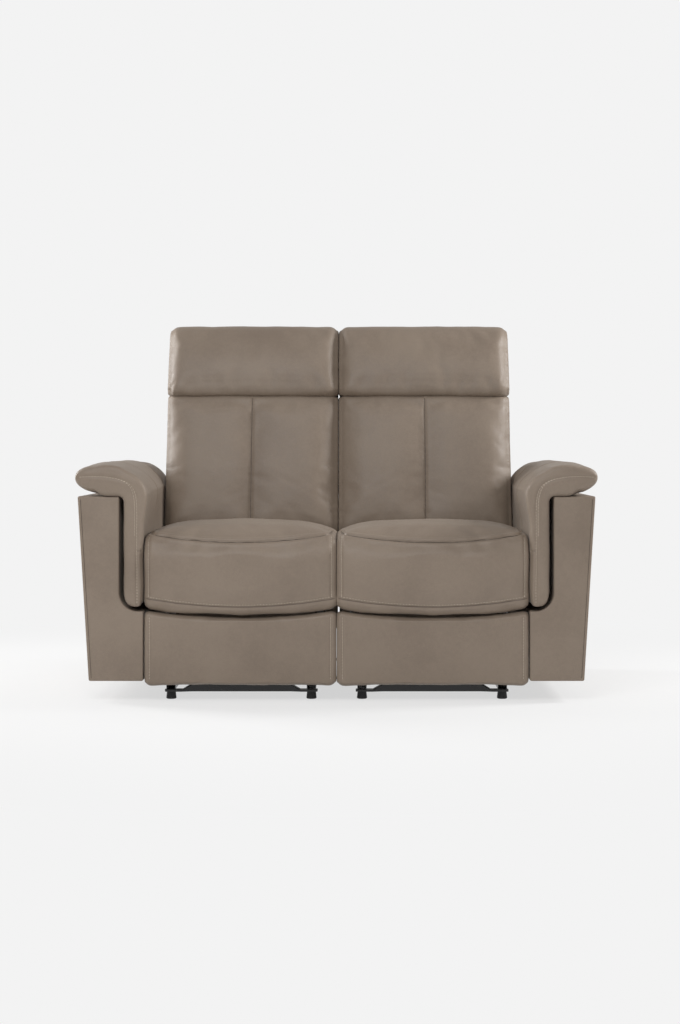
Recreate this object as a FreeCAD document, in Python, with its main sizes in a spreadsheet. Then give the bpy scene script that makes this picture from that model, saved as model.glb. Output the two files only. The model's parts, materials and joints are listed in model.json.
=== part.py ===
import FreeCAD, Part
import math
import os
import Sketcher

# Reclining sofa for two: two powerless seats side by side between padded arms.
# X runs to the sitter's left, Y to the rear, Z up; origin on the floor, centre of the box.

# Driving dimensions: name, value in millimetres or degrees, meaning
DIMENSIONS = (
    ("sofa_width", 1400, "over the tips of the arm pads"),
    ("sofa_depth", 920, "front of the seat cushions to the top of the backs"),
    ("sofa_height", 1050, "floor to the top of the head pillows"),
    ("arm_wide", 182, "one arm across, over its pad"),
    ("seat_gap", 5, "between the two seats"),
    ("running_gap", 3.5, "between a seat and an arm"),
    ("touch_gap", 0.3, "between soft pieces and what they lie on"),
    ("panel_bottom", 55, "floor to the underside of an arm"),
    ("panel_top", 550, "floor to the top of an arm panel"),
    ("panel_tip_inset", 6, "arm panel's top edge inside the pad's tip"),
    ("panel_taper", 30, "how far the arm's outer face leans out"),
    ("panel_wall", 10, "board and covering of the arm panel"),
    ("panel_front_inset", 20, "arm front behind the seat front"),
    ("arm_length", 750, "arm panel, front to rear"),
    ("ledge_height", 242, "inner ledge of the arm panel"),
    ("ledge_radius", 50, "hollow between ledge and inner face"),
    ("pad_side", 52, "thickness of the arm pad beside the sitter"),
    ("pad_slot", 12, "dark slot between arm pad and panel"),
    ("pad_overhang", 12, "arm pad in front of the arm panel"),
    ("pad_crest", 636, "top of the arm pad"),
    ("pad_front_round", 7, "rounding of the arm pad's front edge"),
    ("rail_thick", 40, "arm frame timber across"),
    ("rail_tall", 50, "arm frame timber height"),
    ("foot_inset", 22, "feet inside the linkage plates"),
    ("foot_front", 372, "front feet ahead of the centre"),
    ("foot_rear", 190, "rear feet behind the centre"),
    ("cap_radius", 14, "plastic foot cap"),
    ("cap_height", 20, "plastic foot cap"),
    ("bar_wide", 24, "crossbar section, front to rear"),
    ("bar_tall", 22, "crossbar section height"),
    ("bar_end", 58, "foot to the end of the crossbar's full section"),
    ("bar_neck", 28, "length over which the crossbar is flattened"),
    ("bar_flat", 5, "thickness of the flattened ends"),
    ("bar_flat_wide", 34, "width of the flattened ends"),
    ("base_rail_wide", 25, "base rail tube width"),
    ("base_rail_tall", 22, "base rail tube height"),
    ("tube_wall", 1.6, "wall of the base tubes"),
    ("tube_round", 3, "outer corner radius of the base tubes"),
    ("sheet_thick", 3, "pressed steel straps and flanges"),
    ("plate_thick", 4, "linkage plates and links"),
    ("layer_gap", 3, "space between two layers of links"),
    ("hair_gap", 0.5, "space beside the swing links"),
    ("plate_inset", 44, "linkage plates inside the sides of the seat"),
    ("link_half", 13, "half the width of a link"),
    ("side_play", 0.2, "side play under a pin head"),
    ("pin_radius", 5, "pivot pins"),
    ("pin_fit", 0.06, "radial clearance of a pivot"),
    ("head_radius", 9, "pin heads"),
    ("head_thick", 2.3, "pin heads"),
    ("collar_radius", 7, "spacer collars on long pins"),
    ("swing_length", 110, "swing link, pivot to pivot"),
    ("swing_lean", 20, "degrees the swing links lean back at rest"),
    ("swing_base_height", 95, "lower swing pivots above the floor"),
    ("swing_front", 140, "lower front swing pivot ahead of the centre"),
    ("swing_rear", 20, "lower rear swing pivot behind the centre"),
    ("drive_behind", 191.9, "drive shaft behind the footrest board"),
    ("drive_height", 227.1, "drive shaft above the floor"),
    ("cross_behind", 90.7, "cross link pivot behind the footrest board"),
    ("cross_height", 269.1, "cross link pivot above the floor"),
    ("drive_length", 145.3, "drive link, pivot to pivot"),
    ("reach_length", 281.4, "reach link, pivot to pivot"),
    ("cross_length", 188.1, "cross link, pivot to pivot"),
    ("lift_length", 186.0, "lift link, pivot to pivot"),
    ("scissor_on_reach", 108.6, "scissor pin along the reach link"),
    ("scissor_off_reach", 1.5, "scissor pin below the reach link's centre line"),
    ("scissor_head", 11, "head of the scissor pin"),
    ("lift_eye", 16, "half width of the lift link's front eye"),
    ("lift_head", 13, "head of the lift link's front pin"),
    ("scissor_play", 2.5, "extra hole radius round the scissor pin"),
    ("lift_play", 4.8, "extra hole radius at the lift link's front pin"),
    ("shaft_radius", 8, "drive shaft"),
    ("shaft_head", 11, "heads at the ends of the drive shaft"),
    ("foot_inside", 75, "back of the closed footrest board behind the seat's front"),
    ("foot_top", 235, "top of the closed footrest board's frame line"),
    ("reach_drop", 20, "reach pin below the footrest's top"),
    ("reach_behind", 20.7, "reach pin behind the board"),
    ("lift_drop", 70, "lift pin below the footrest's top"),
    ("lift_behind", 22.8, "lift pin behind the board"),
    ("board_thick", 18, "footrest board"),
    ("seat_rear_fall", 16, "rear edge of the seat cushion below its crown"),
    ("seat_brow_back", 14, "seat cushion's upper front edge behind its face"),
    ("seat_brow_fall", 10, "seat cushion's upper front edge below its crown"),
    ("seat_face_fall", 80, "fullest line of the seat's face below its crown"),
    ("seat_lip_back", 10, "lower front edge of the seat behind its face"),
    ("back_crown", 6, "how far the middle of a back cushion stands out"),
    ("seam_half", 1, "half the gap between head pillow and lumbar cushion"),
    ("lumbar_knee", 50, "fullest line of the lumbar cushion above its lower edge"),
    ("lumbar_knee_back", 6, "that line behind the plain front of the back"),
    ("lumbar_brow_back", 8, "upper edge of the lumbar cushion behind that front"),
    ("lumbar_foot_back", 30, "lower edge of the lumbar cushion behind that front"),
    ("head_rear_lean", 8, "upper rear edge of the head pillow ahead of the shell"),
    ("head_brow_back", 16, "upper front edge of the head pillow behind that front"),
    ("head_face_out", 4, "head pillow's face before that front"),
    ("foot_corner", 20, "rounding of the footrest's lower corners"),
    ("foot_board_lift", 7, "footrest board above the lower edge of its padding"),
    ("foot_dip_share", 0.85, "share of the footrest's width over which its top dips"),
    ("pad_tip_low", 47, "lower corner of the arm pad's tip above the panel"),
    ("pad_tip_high", 60, "upper corner of the arm pad's tip above the panel"),
    ("pad_crest_in", 60, "crest of the arm pad inside its tip"),
    ("pad_crest_side", 67, "crest of the arm pad outside its inner face"),
    ("pad_crest_fall", 46, "inner face of the arm pad below its crest"),
    ("pad_rest_wide", 60, "width over which the arm pad lies on the panel"),
    ("pad_lip_out", 102, "arm pad's lifting underside outside the slot"),
    ("pad_lip_rise", 30, "rise of that underside"),
    ("foot_pad_thick", 37, "footrest padding"),
    ("foot_pad_drop", 195, "lower edge of the footrest below its top line"),
    ("foot_pad_side", 1.5, "footrest padding inside the sides of the seat"),
    ("lip_gap", 4, "between the seat's lip and the footrest"),
    ("seat_frame_top", 324, "top of the seat frame"),
    ("seat_frame_tall", 62, "height of the seat frame timbers"),
    ("seat_timber", 25, "thickness of the seat frame timbers"),
    ("frame_rear_inset", 330, "rear of the seat frame ahead of the rear of the backs"),
    ("spring_wire", 3.5, "square wire of the seat springs"),
    ("spring_half", 30, "half the width of a spring's straight runs"),
    ("spring_count", 3, "springs under one seat"),
    ("spring_turns", 6, "bends of one spring"),
    ("seat_crown", 483, "highest point of the seat cushion"),
    ("seat_side_drop", 12, "cushion lower at its sides"),
    ("seat_clear", 20.9, "seat cushion's rear ahead of the back cushion's front plane"),
    ("seat_bulge", 13, "front of the seat fuller in the middle"),
    ("lip_thick", 68, "lip of the seat cushion, front to rear"),
    ("lip_middle", 230, "lower edge of the lip in the middle"),
    ("lip_side", 253, "lower edge of the lip at its sides"),
    ("seam_inset", 10, "soft edges drawn in at the outer seams"),
    ("back_run", 194.956, "how far the back leans to the rear above the recline pivot"),
    ("back_depth", 238, "back from its front to its rear, level"),
    ("back_kink", 400, "height where the rear turns from upright to leaning"),
    ("skirt_bottom", 130, "lower edge of the back's skirt"),
    ("shell_drop", 40, "top of the back shell below the head pillow's top"),
    ("shell_wall", 15, "rear wall of the back shell"),
    ("shell_side", 9, "side walls of the back shell"),
    ("back_cushion", 125, "back cushion thickness, level"),
    ("head_tall", 218, "head pillow, seam to top"),
    ("lumbar_bottom", 398, "lower edge of the lumbar cushion"),
    ("head_roll", 16, "head pillow in front of the lumbar cushion"),
    ("channel_depth", 16, "seam down the middle of the lumbar cushion"),
    ("post_thick", 22, "plywood side posts of the back"),
    ("post_bottom", 296, "lower end of the posts"),
    ("recline_height", 330, "recline pivot above the floor"),
    ("recline_inset", 245, "recline pivot ahead of the rear of the backs"),
    ("rail_timber_tall", 45, "height of the back's cross rails"),
    ("strap_gap", 12.5, "between two straps of webbing"),
    ("strap_thick", 2, "webbing"),
    ("strap_count", 5, "straps across one back"),
    ("bolt_radius", 4, "shank of the frame bolts"),
    ("bolt_head", 6.5, "corner radius of the hexagon heads"),
    ("bolt_bite", 20, "depth of the bolt holes in the timber"),
    ("bolt_apart", 20, "between the two bolts of one arm bracket"),
    ("bolt_drop", 34, "seat frame bolts below the top of the frame"),
    ("bracket_long", 40, "arm bracket, front to rear"),
    ("bracket_front", 270, "front arm brackets ahead of the centre"),
    ("bracket_rear", 130, "rear arm brackets behind the centre"),
    ("seat_bolt_front", 240, "front bolt of the seat frame ahead of the centre"),
    ("seat_bolt_middle", 60, "middle bolt of the seat frame ahead of the centre"),
    ("seat_bolt_rear", 40, "rear bolt of the seat frame behind the centre"),
    ("tie_wide", 40, "tie plates between the two bases"),
    ("tie_inset", 60, "tie plates inside the crossbars"),
    ("front_board", 6.5, "board in front of the seat frame"),
    ("corner_leg", 45, "legs of the seat frame's corner blocks"),
)


class Size:
    """A number together with the sheet formula that it comes from."""

    def __init__(self, value, text):
        self.value = value
        self.text = text

    def __add__(self, other):
        return Size(self.value + worth(other), f"({self.text} + {words(other)})")

    def __radd__(self, other):
        return Size(worth(other) + self.value, f"({words(other)} + {self.text})")

    def __sub__(self, other):
        return Size(self.value - worth(other), f"({self.text} - {words(other)})")

    def __rsub__(self, other):
        return Size(worth(other) - self.value, f"({words(other)} - {self.text})")

    def __mul__(self, other):
        return Size(self.value * worth(other), f"({self.text} * {words(other)})")

    __rmul__ = __mul__

    def __truediv__(self, other):
        return Size(self.value / worth(other), f"({self.text} / {words(other)})")

    def __neg__(self):
        return Size(-self.value, f"(0 - {self.text})")


def worth(number):
    return number.value if isinstance(number, Size) else float(number)


def words(number):
    return number.text if isinstance(number, Size) else f"({float(number)!r})"


def cosine(angle):
    return Size(math.cos(math.radians(worth(angle))), f"cos({words(angle)} * 1 deg)")


def sine(angle):
    return Size(math.sin(math.radians(worth(angle))), f"sin({words(angle)} * 1 deg)")


def root(square):
    return Size(math.sqrt(square.value), f"sqrt({square.text})")


def arc_cosine(ratio):
    return Size(math.degrees(math.acos(ratio.value)), f"(acos({ratio.text}) / 1 deg)")


def arc_tangent(rise, run):
    angle = math.degrees(math.atan2(rise.value, run.value))
    return Size(angle, f"(atan2({rise.text}; {run.text}) / 1 deg)")


class Sheet:
    """The spreadsheet of driving dimensions; each one is read by its name."""

    def __init__(self, document, rows):
        self.table = document.addObject("Spreadsheet::Sheet", "Sizes")
        self.values = {}
        for line, (name, value, meaning) in enumerate(rows, start=1):
            self.table.set(f"A{line}", meaning)
            self.table.set(f"B{line}", str(value))
            self.table.setAlias(f"B{line}", name)
            self.values[name] = float(value)

    def __getattr__(self, name):
        return Size(self.values[name], f"Sizes.{name}")


document = FreeCAD.newDocument("reclining_sofa")
dim = Sheet(document, DIMENSIONS)
document.recompute()
nodes = {}


# Helpers: placing, sketching and padding with sizes bound to the sheet

def bind(thing, prop, size):
    if isinstance(size, Size):
        thing.setExpression(prop, size.text)
    else:
        setattr(thing, prop, size)


def place(thing, across=0, along=0, up=0, turn=0):
    """Move a piece to (across, along, up) and turn it about the X axis."""
    spot = f"vector({words(across)}; {words(along)}; {words(up)})"
    spin = f"rotation(vector(1; 0; 0); {words(turn)})"
    thing.setExpression("Placement", f"placement({spot}; {spin})")


def origin_plane(body, role):
    return next(f for f in body.Origin.OriginFeatures if f.Role == role)


def new_body(label):
    body = document.addObject("PartDesign::Body", label)
    body.Label = label
    body.AllowCompound = True
    return body


def corner_arc(before, corner, after, radius):
    """Tangent points, centre and turning of a rounded corner."""
    back = (before - corner).normalize()
    ahead = (after - corner).normalize()
    half = back.getAngle(ahead) / 2
    reach = radius / math.tan(half)
    middle = corner + (back + ahead).normalize() * (radius / math.sin(half))
    turning = back.cross(ahead).z
    return corner + back * reach, corner + ahead * reach, middle, turning


def add_outline(sketch, corners):
    """Draw a closed outline; a corner is (x, y) or (x, y, radius)."""
    count = len(corners)
    points = [FreeCAD.Vector(worth(c[0]), worth(c[1]), 0) for c in corners]
    starts = []
    ends = []
    arcs = {}
    for i, corner in enumerate(corners):
        if len(corner) == 2:
            starts.append(points[i])
            ends.append(points[i])
            continue
        arcs[i] = corner_arc(points[i - 1], points[i], points[(i + 1) % count], worth(corner[2]))
        starts.append(arcs[i][0])
        ends.append(arcs[i][1])
    first = sketch.GeometryCount
    for i in range(count):
        sketch.addGeometry(Part.LineSegment(ends[i], starts[(i + 1) % count]), False)
    for i, corner in enumerate(corners):
        before = first + (i - 1) % count
        after = first + i
        if i in arcs:
            spot = round_corner(sketch, arcs[i], points[i], before, after, corner[2])
        else:
            sketch.addConstraint(Sketcher.Constraint("Coincident", before, 2, after, 1))
            spot = after
        fix_point(sketch, spot, 1, corner[0], corner[1])


def round_corner(sketch, arc, corner, before, after, radius):
    start, end, middle, turning = arc
    angles = [math.atan2((p - middle).y, (p - middle).x) for p in (start, end)]
    entry, leave = 1, 2
    if turning > 0:
        angles.reverse()
        entry, leave = 2, 1
    circle = Part.Circle(middle, FreeCAD.Vector(0, 0, 1), worth(radius))
    bend = sketch.addGeometry(Part.ArcOfCircle(circle, angles[0], angles[1]), False)
    spot = sketch.addGeometry(Part.Point(corner), True)
    sketch.addConstraint([
        Sketcher.Constraint("Tangent", before, 2, bend, entry),
        Sketcher.Constraint("Tangent", bend, leave, after, 1),
        Sketcher.Constraint("PointOnObject", spot, 1, before),
        Sketcher.Constraint("PointOnObject", spot, 1, after),
    ])
    fix_radius(sketch, bend, radius)
    return spot


def fix_point(sketch, item, end, x, y):
    for kind, size in (("DistanceX", x), ("DistanceY", y)):
        number = sketch.addConstraint(Sketcher.Constraint(kind, -1, 1, item, end, worth(size)))
        if isinstance(size, Size):
            sketch.setExpression(f"Constraints[{number}]", size.text)


def fix_radius(sketch, item, radius):
    number = sketch.addConstraint(Sketcher.Constraint("Radius", item, worth(radius)))
    if isinstance(radius, Size):
        sketch.setExpression(f"Constraints[{number}]", radius.text)


def add_circle(sketch, x, y, radius):
    middle = FreeCAD.Vector(worth(x), worth(y), 0)
    item = sketch.addGeometry(Part.Circle(middle, FreeCAD.Vector(0, 0, 1), worth(radius)), False)
    fix_point(sketch, item, 3, x, y)
    fix_radius(sketch, item, radius)


def new_sketch(body, role, start, outlines=(), circles=()):
    sketch = body.newObject("Sketcher::SketchObject", f"{body.Label}_sketch")
    sketch.AttachmentSupport = [(origin_plane(body, role), "")]
    sketch.MapMode = "FlatFace"
    if isinstance(start, Size):
        sketch.setExpression("AttachmentOffset.Base.z", start.text)
    else:
        sketch.AttachmentOffset = FreeCAD.Placement(FreeCAD.Vector(0, 0, start), FreeCAD.Rotation())
    for corners in outlines:
        add_outline(sketch, corners)
    for circle in circles:
        add_circle(sketch, *circle)
    return sketch


def pad(body, role, start, length, outlines=(), circles=()):
    feature = body.newObject("PartDesign::Pad", f"{body.Label}_pad")
    feature.Profile = new_sketch(body, role, start, outlines, circles)
    bind(feature, "Length", length)
    feature.Refine = True
    return feature


def pocket(body, role, start, length, outlines=(), circles=()):
    """Cut towards the side of the plane that its normal points to."""
    feature = body.newObject("PartDesign::Pocket", f"{body.Label}_pocket")
    feature.Profile = new_sketch(body, role, start, outlines, circles)
    feature.Reversed = True
    bind(feature, "Length", length)
    return feature


def mirror_sides(body, features):
    mirror = body.newObject("PartDesign::Mirrored", f"{body.Label}_other_side")
    mirror.MirrorPlane = (origin_plane(body, "YZ_Plane"), [""])
    mirror.Originals = list(features)
    body.Tip = mirror
    return mirror


def block(across, along, up):
    """A straight timber or strap between three pairs of limits."""
    box = document.addObject("Part::Box", "block")
    for prop, (low, high) in zip(("Length", "Width", "Height"), (across, along, up)):
        bind(box, prop, high - low)
    place(box, across[0], along[0], up[0])
    return box


def rod(low, high, along, up, radius):
    """A round bar along X."""
    bar = document.addObject("Part::Cylinder", "rod")
    bind(bar, "Radius", radius)
    bind(bar, "Height", high - low)
    spot = f"vector({words(low)}; {words(along)}; {words(up)})"
    bar.setExpression("Placement", f"placement({spot}; rotation(vector(0; 1; 0); 90))")
    return bar


def fused(pieces):
    whole = document.addObject("Part::MultiFuse", "fused")
    whole.Shapes = pieces
    return whole


def group(label, pieces):
    """Separate solids under one name."""
    together = document.addObject("Part::Compound", label)
    together.Label = label
    together.Links = pieces
    return together


# Places worked out from the driving dimensions

arm_inner = dim.sofa_width / 2 - dim.arm_wide
seat_half = (arm_inner - dim.running_gap - dim.seat_gap / 2) / 2
half_pitch = seat_half + dim.seat_gap / 2
seat_front = -dim.sofa_depth / 2
plate_offset = seat_half - dim.plate_inset
foot_spread = (plate_offset - dim.foot_inset) * 2
bar_full = foot_spread / 2 - dim.bar_end
foot_back = dim.sofa_depth / 2 - dim.foot_inside
drive_forward = foot_back - dim.drive_behind
cross_forward = foot_back - dim.cross_behind
seat_frame_rear = dim.sofa_depth / 2 - dim.frame_rear_inset
recline_rear = dim.sofa_depth / 2 - dim.recline_inset
shell_top = dim.sofa_height - dim.shell_drop
head_seam = dim.sofa_height - dim.head_tall
back_slope = dim.back_run / (shell_top - dim.recline_height)
panel_front = seat_front + dim.panel_front_inset
panel_rear = panel_front + dim.arm_length
panel_tip = dim.sofa_width / 2 - dim.panel_tip_inset
panel_foot = panel_tip - dim.panel_taper
pad_back = arm_inner + dim.pad_side
slot_face = pad_back + dim.pad_slot
rail_low = foot_spread / 2 - dim.base_rail_wide / 2
rail_high = rail_low + dim.base_rail_wide
rail_bottom = dim.cap_height + dim.bar_flat
rail_top = rail_bottom + dim.base_rail_tall
flange_top = rail_top + dim.sheet_thick
rail_front = -dim.foot_front - dim.bar_flat_wide / 3
rail_rear = dim.foot_rear + dim.bar_flat_wide / 2
swing_rise = dim.swing_length * cosine(dim.swing_lean)
swing_back = dim.swing_length * sine(dim.swing_lean)
swing_top = dim.swing_base_height + swing_rise
plate_outer = plate_offset + dim.plate_thick
swing_layer = plate_outer + dim.hair_gap
hole_radius = dim.pin_radius + dim.pin_fit
SIDES = (("left", -1), ("right", 1))


def layer(number):
    """Inner face of a layer of links; 0 is the seat plate, 5 the footrest bracket."""
    return plate_offset - (dim.plate_thick + dim.layer_gap) * number


def rear_at(height):
    """Rear face of the leaning back at a height."""
    return dim.sofa_depth / 2 - (shell_top - height) * back_slope


def cushion_plane(height):
    """Plane between the back's frame and its cushions."""
    return rear_at(height) - (dim.back_depth - dim.back_cushion)


def back_front(height):
    return rear_at(height) - dim.back_depth


def two_bar(start, end, first, second):
    """Angles of two links from start to end, the elbow hanging below."""
    run = end[0] - start[0]
    rise = end[1] - start[1]
    span = root(run * run + rise * rise)
    corner = arc_cosine((first * first + span * span - second * second) / (first * span * 2))
    lead = arc_tangent(rise, run) - corner
    elbow = (start[0] + first * cosine(lead), start[1] + first * sine(lead))
    return lead, elbow, arc_tangent(end[1] - elbow[1], end[0] - elbow[0])


# Arms: timber frame, covered panel, padded top that folds over the sitter's side

def arm_panel(label, side):
    wall = dim.panel_wall
    body = new_body(f"arm_panel_{label}")
    outside = (
        (arm_inner * side, dim.panel_bottom),
        (panel_foot * side, dim.panel_bottom),
        (panel_tip * side, dim.panel_top),
        (slot_face * side, dim.panel_top),
        (slot_face * side, dim.ledge_height, dim.ledge_radius),
        (arm_inner * side, dim.ledge_height),
    )
    inside = (
        ((arm_inner + wall) * side, dim.panel_bottom + wall),
        ((panel_foot - wall) * side, dim.panel_bottom + wall),
        ((panel_tip - wall) * side, dim.panel_top - wall),
        ((slot_face + wall) * side, dim.panel_top - wall),
        ((slot_face + wall) * side, dim.ledge_height - wall, dim.ledge_radius + wall),
        ((arm_inner + wall) * side, dim.ledge_height - wall),
    )
    pad(body, "XZ_Plane", -panel_rear, dim.arm_length, [outside])
    pocket(body, "XZ_Plane", wall - panel_rear, dim.arm_length - wall * 2, [inside])
    holes = [(along, bolt_height, bolt_hole) for along in bolt_places()]
    start = arm_inner if side > 0 else -arm_inner - wall
    pocket(body, "YZ_Plane", start, wall, circles=holes)
    nodes[body.Label] = body


def arm_rails(label, side):
    """Timbers inside the panel: two sills, two posts, a top rail and cross pieces."""
    thick = dim.rail_thick
    inner = arm_inner + dim.panel_wall
    front = panel_front + dim.panel_wall
    rear = panel_rear - dim.panel_wall
    low = dim.panel_bottom + dim.panel_wall
    high = dim.panel_top - dim.panel_wall
    outer = panel_foot - dim.panel_wall - thick
    sill = (low, low + dim.rail_tall)
    top = (high - dim.rail_tall, high)

    def timber(near, far, along, up):
        across = (near, far) if side > 0 else (-far, -near)
        return block(across, along, up)

    drilled = document.addObject("Part::Cut", "drilled_sill")
    drilled.Base = timber(inner, inner + thick, (front, rear), sill)
    drilled.Tool = fused([bolt_rod(side, inner, inner + dim.bolt_bite, along, bolt_hole)
                          for along in bolt_places()])
    pieces = [drilled]
    pieces.append(timber(outer, outer + thick, (front, rear), sill))
    pieces.append(timber(outer, outer + thick, (front, rear), top))
    for along in ((front, front + thick), (rear - thick, rear)):
        pieces.append(timber(outer, outer + thick, along, (sill[1], top[0])))
        pieces.append(timber(inner + thick, outer, along, sill))
    nodes[f"arm_frame_{label}"] = group(f"arm_frame_{label}", pieces)


# Base: tubes, crossbars with flattened ends, foot caps, brackets and pins

bolt_height = dim.panel_bottom + dim.panel_wall + dim.rail_tall / 2
bolt_hole = dim.bolt_radius + dim.pin_fit
bolt_end_gap = dim.bolt_bite / 20
BRACKET_PLACES = (-dim.bracket_front, dim.bracket_rear)


def bolt_pair(along):
    return [along - dim.bolt_apart / 2, along + dim.bolt_apart / 2]


def bolt_places():
    return [place for along in BRACKET_PLACES for place in bolt_pair(along)]


def bolt_rod(side, low, high, along, radius):
    ends = (low, high) if side > 0 else (-high, -low)
    return rod(ends[0], ends[1], along, bolt_height, radius)


def hexagon(low, along, up, thick):
    head = document.addObject("Part::Prism", "hexagon")
    head.Polygon = 6
    bind(head, "Circumradius", dim.bolt_head)
    bind(head, "Height", thick)
    spot = f"vector({words(low)}; {words(along)}; {words(up)})"
    head.setExpression("Placement", f"placement({spot}; rotation(vector(0; 1; 0); 90))")
    return head


def base_rails():
    body = new_body("base_rails")
    outlines = []
    for _, seat in SIDES:
        for edge in (-1, 1):
            for inset, radius in ((0, dim.tube_round), (dim.tube_wall, dim.tube_round / 2)):
                low = half_pitch * seat + rail_low * edge + inset * edge
                high = half_pitch * seat + rail_high * edge - inset * edge
                outlines.append((
                    (low, rail_bottom + inset, radius),
                    (high, rail_bottom + inset, radius),
                    (high, rail_top - inset, radius),
                    (low, rail_top - inset, radius),
                ))
    pad(body, "XZ_Plane", -rail_rear, rail_rear - rail_front, outlines)
    nodes[body.Label] = body


def section(middle, wide, low, tall, radius):
    return (
        (middle - wide / 2, low, radius),
        (middle + wide / 2, low, radius),
        (middle + wide / 2, low + tall, radius),
        (middle - wide / 2, low + tall, radius),
    )


def crossbar(across, along):
    """Tube whose ends are pressed flat over the feet."""
    body = new_body("crossbar")
    full = section(0, dim.bar_wide, dim.cap_height, dim.bar_tall, dim.tube_round)
    hollow = section(0, dim.bar_wide - dim.tube_wall * 2, dim.cap_height + dim.tube_wall,
                     dim.bar_tall - dim.tube_wall * 2, dim.tube_round / 2)
    flat = section(0, dim.bar_flat_wide, dim.cap_height, dim.bar_flat, dim.bar_flat / 4)
    pad(body, "YZ_Plane", -bar_full, bar_full * 2, [full, hollow])
    neck = body.newObject("PartDesign::AdditiveLoft", "neck")
    neck.Profile = new_sketch(body, "YZ_Plane", bar_full, [full])
    neck.Sections = [new_sketch(body, "YZ_Plane", bar_full + dim.bar_neck, [flat])]
    neck.Ruled = True
    begin = bar_full + dim.bar_neck
    finish = foot_spread / 2 + dim.bar_flat_wide / 2
    half = dim.bar_flat_wide / 2
    tongue = ((begin, -half), (finish, -half, half / 2), (finish, half, half / 2), (begin, half))
    hole = (foot_spread / 2, 0, bolt_hole)
    end = pad(body, "XY_Plane", dim.cap_height, dim.bar_flat, [tongue], [hole])
    mirror_sides(body, [neck, end])
    place(body, across, along)
    return body


def foot_cap(across, along):
    body = new_body("foot_cap")
    rim = dim.cap_radius / 7
    stud = dim.cap_height + dim.bar_flat
    profile = (
        (0, 0),
        (dim.cap_radius - rim, 0),
        (dim.cap_radius, rim),
        (dim.cap_radius - rim, dim.cap_height),
        (dim.bolt_radius, dim.cap_height),
        (dim.bolt_radius, stud),
        (0, stud),
    )
    turned = body.newObject("PartDesign::Revolution", "cap")
    turned.Profile = new_sketch(body, "XZ_Plane", 0, [profile])
    turned.ReferenceAxis = (turned.Profile[0], ["V_Axis"])
    turned.Angle = 360
    place(body, across, along)
    return body


def stack(body, along, up, discs):
    """Coaxial discs of one pin: (inner end, outer end, radius)."""
    return [pad(body, "YZ_Plane", low, high - low, circles=[(along, up, radius)])
            for low, high, radius in discs]


def swing_pin(inner, outer):
    """Pin through a plate and a swing link, flush inside and with a head outside."""
    return (
        (inner, outer + dim.side_play, dim.pin_radius),
        (outer + dim.side_play, outer + dim.side_play + dim.head_thick, dim.head_radius),
    )


def side_bracket(across):
    """Angle on the base rail whose two ears carry the swing links."""
    body = new_body("side_bracket")
    ear = dim.pin_radius * 3
    half = ear * 1.5
    top = dim.swing_base_height + ear
    front = -dim.swing_front
    rear = dim.swing_rear
    waist = (rail_top + dim.swing_base_height) / 2
    web = (
        (front - half, rail_top),
        (front - half, top, ear),
        (front + half, top, ear),
        (front + ear * 3, waist, ear),
        (rear - ear * 3, waist, ear),
        (rear - half, top, ear),
        (rear + half, top, ear),
        (rear + half, rail_top),
    )
    holes = [(front, dim.swing_base_height, hole_radius), (rear, dim.swing_base_height, hole_radius)]
    plate = pad(body, "YZ_Plane", plate_offset, dim.plate_thick, [web], holes)
    strip = (
        (front - half, rail_top),
        (front - half, flange_top),
        (rear + half, flange_top),
        (rear + half, rail_top),
    )
    flange = pad(body, "YZ_Plane", rail_low, plate_offset - rail_low, [strip])
    mirror_sides(body, [plate, flange])
    place(body, across)
    return body


def base_pins(across):
    body = new_body("base_pin_set")
    discs = swing_pin(plate_offset, swing_layer + dim.plate_thick)
    features = []
    for along in (-dim.swing_front, dim.swing_rear):
        features += stack(body, along, dim.swing_base_height, discs)
    mirror_sides(body, features)
    place(body, across)
    return body


def arm_bracket(side, along):
    """Angle from the base rail to the inner face of the arm."""
    body = new_body("arm_bracket")
    thick = dim.sheet_thick
    inner = half_pitch + rail_low
    top = bolt_height + dim.bracket_long / 2
    profile = (
        (inner * side, rail_top),
        (arm_inner * side, rail_top),
        (arm_inner * side, top),
        ((arm_inner - thick) * side, top),
        ((arm_inner - thick) * side, flange_top, thick),
        (inner * side, flange_top),
    )
    pad(body, "XZ_Plane", -along - dim.bracket_long / 2, dim.bracket_long, [profile])
    holes = [(place, bolt_height, bolt_hole) for place in bolt_pair(along)]
    start = arm_inner - thick if side > 0 else -arm_inner
    pocket(body, "YZ_Plane", start, thick, circles=holes)
    return body


def arm_bolt(side, along):
    face = arm_inner - dim.sheet_thick
    tip = arm_inner + dim.panel_wall + dim.bolt_bite - bolt_end_gap
    shank = bolt_rod(side, face, tip, along, dim.bolt_radius)
    low = face - dim.plate_thick if side > 0 else -face
    return fused([hexagon(low, along, bolt_height, dim.plate_thick), shank])


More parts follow.
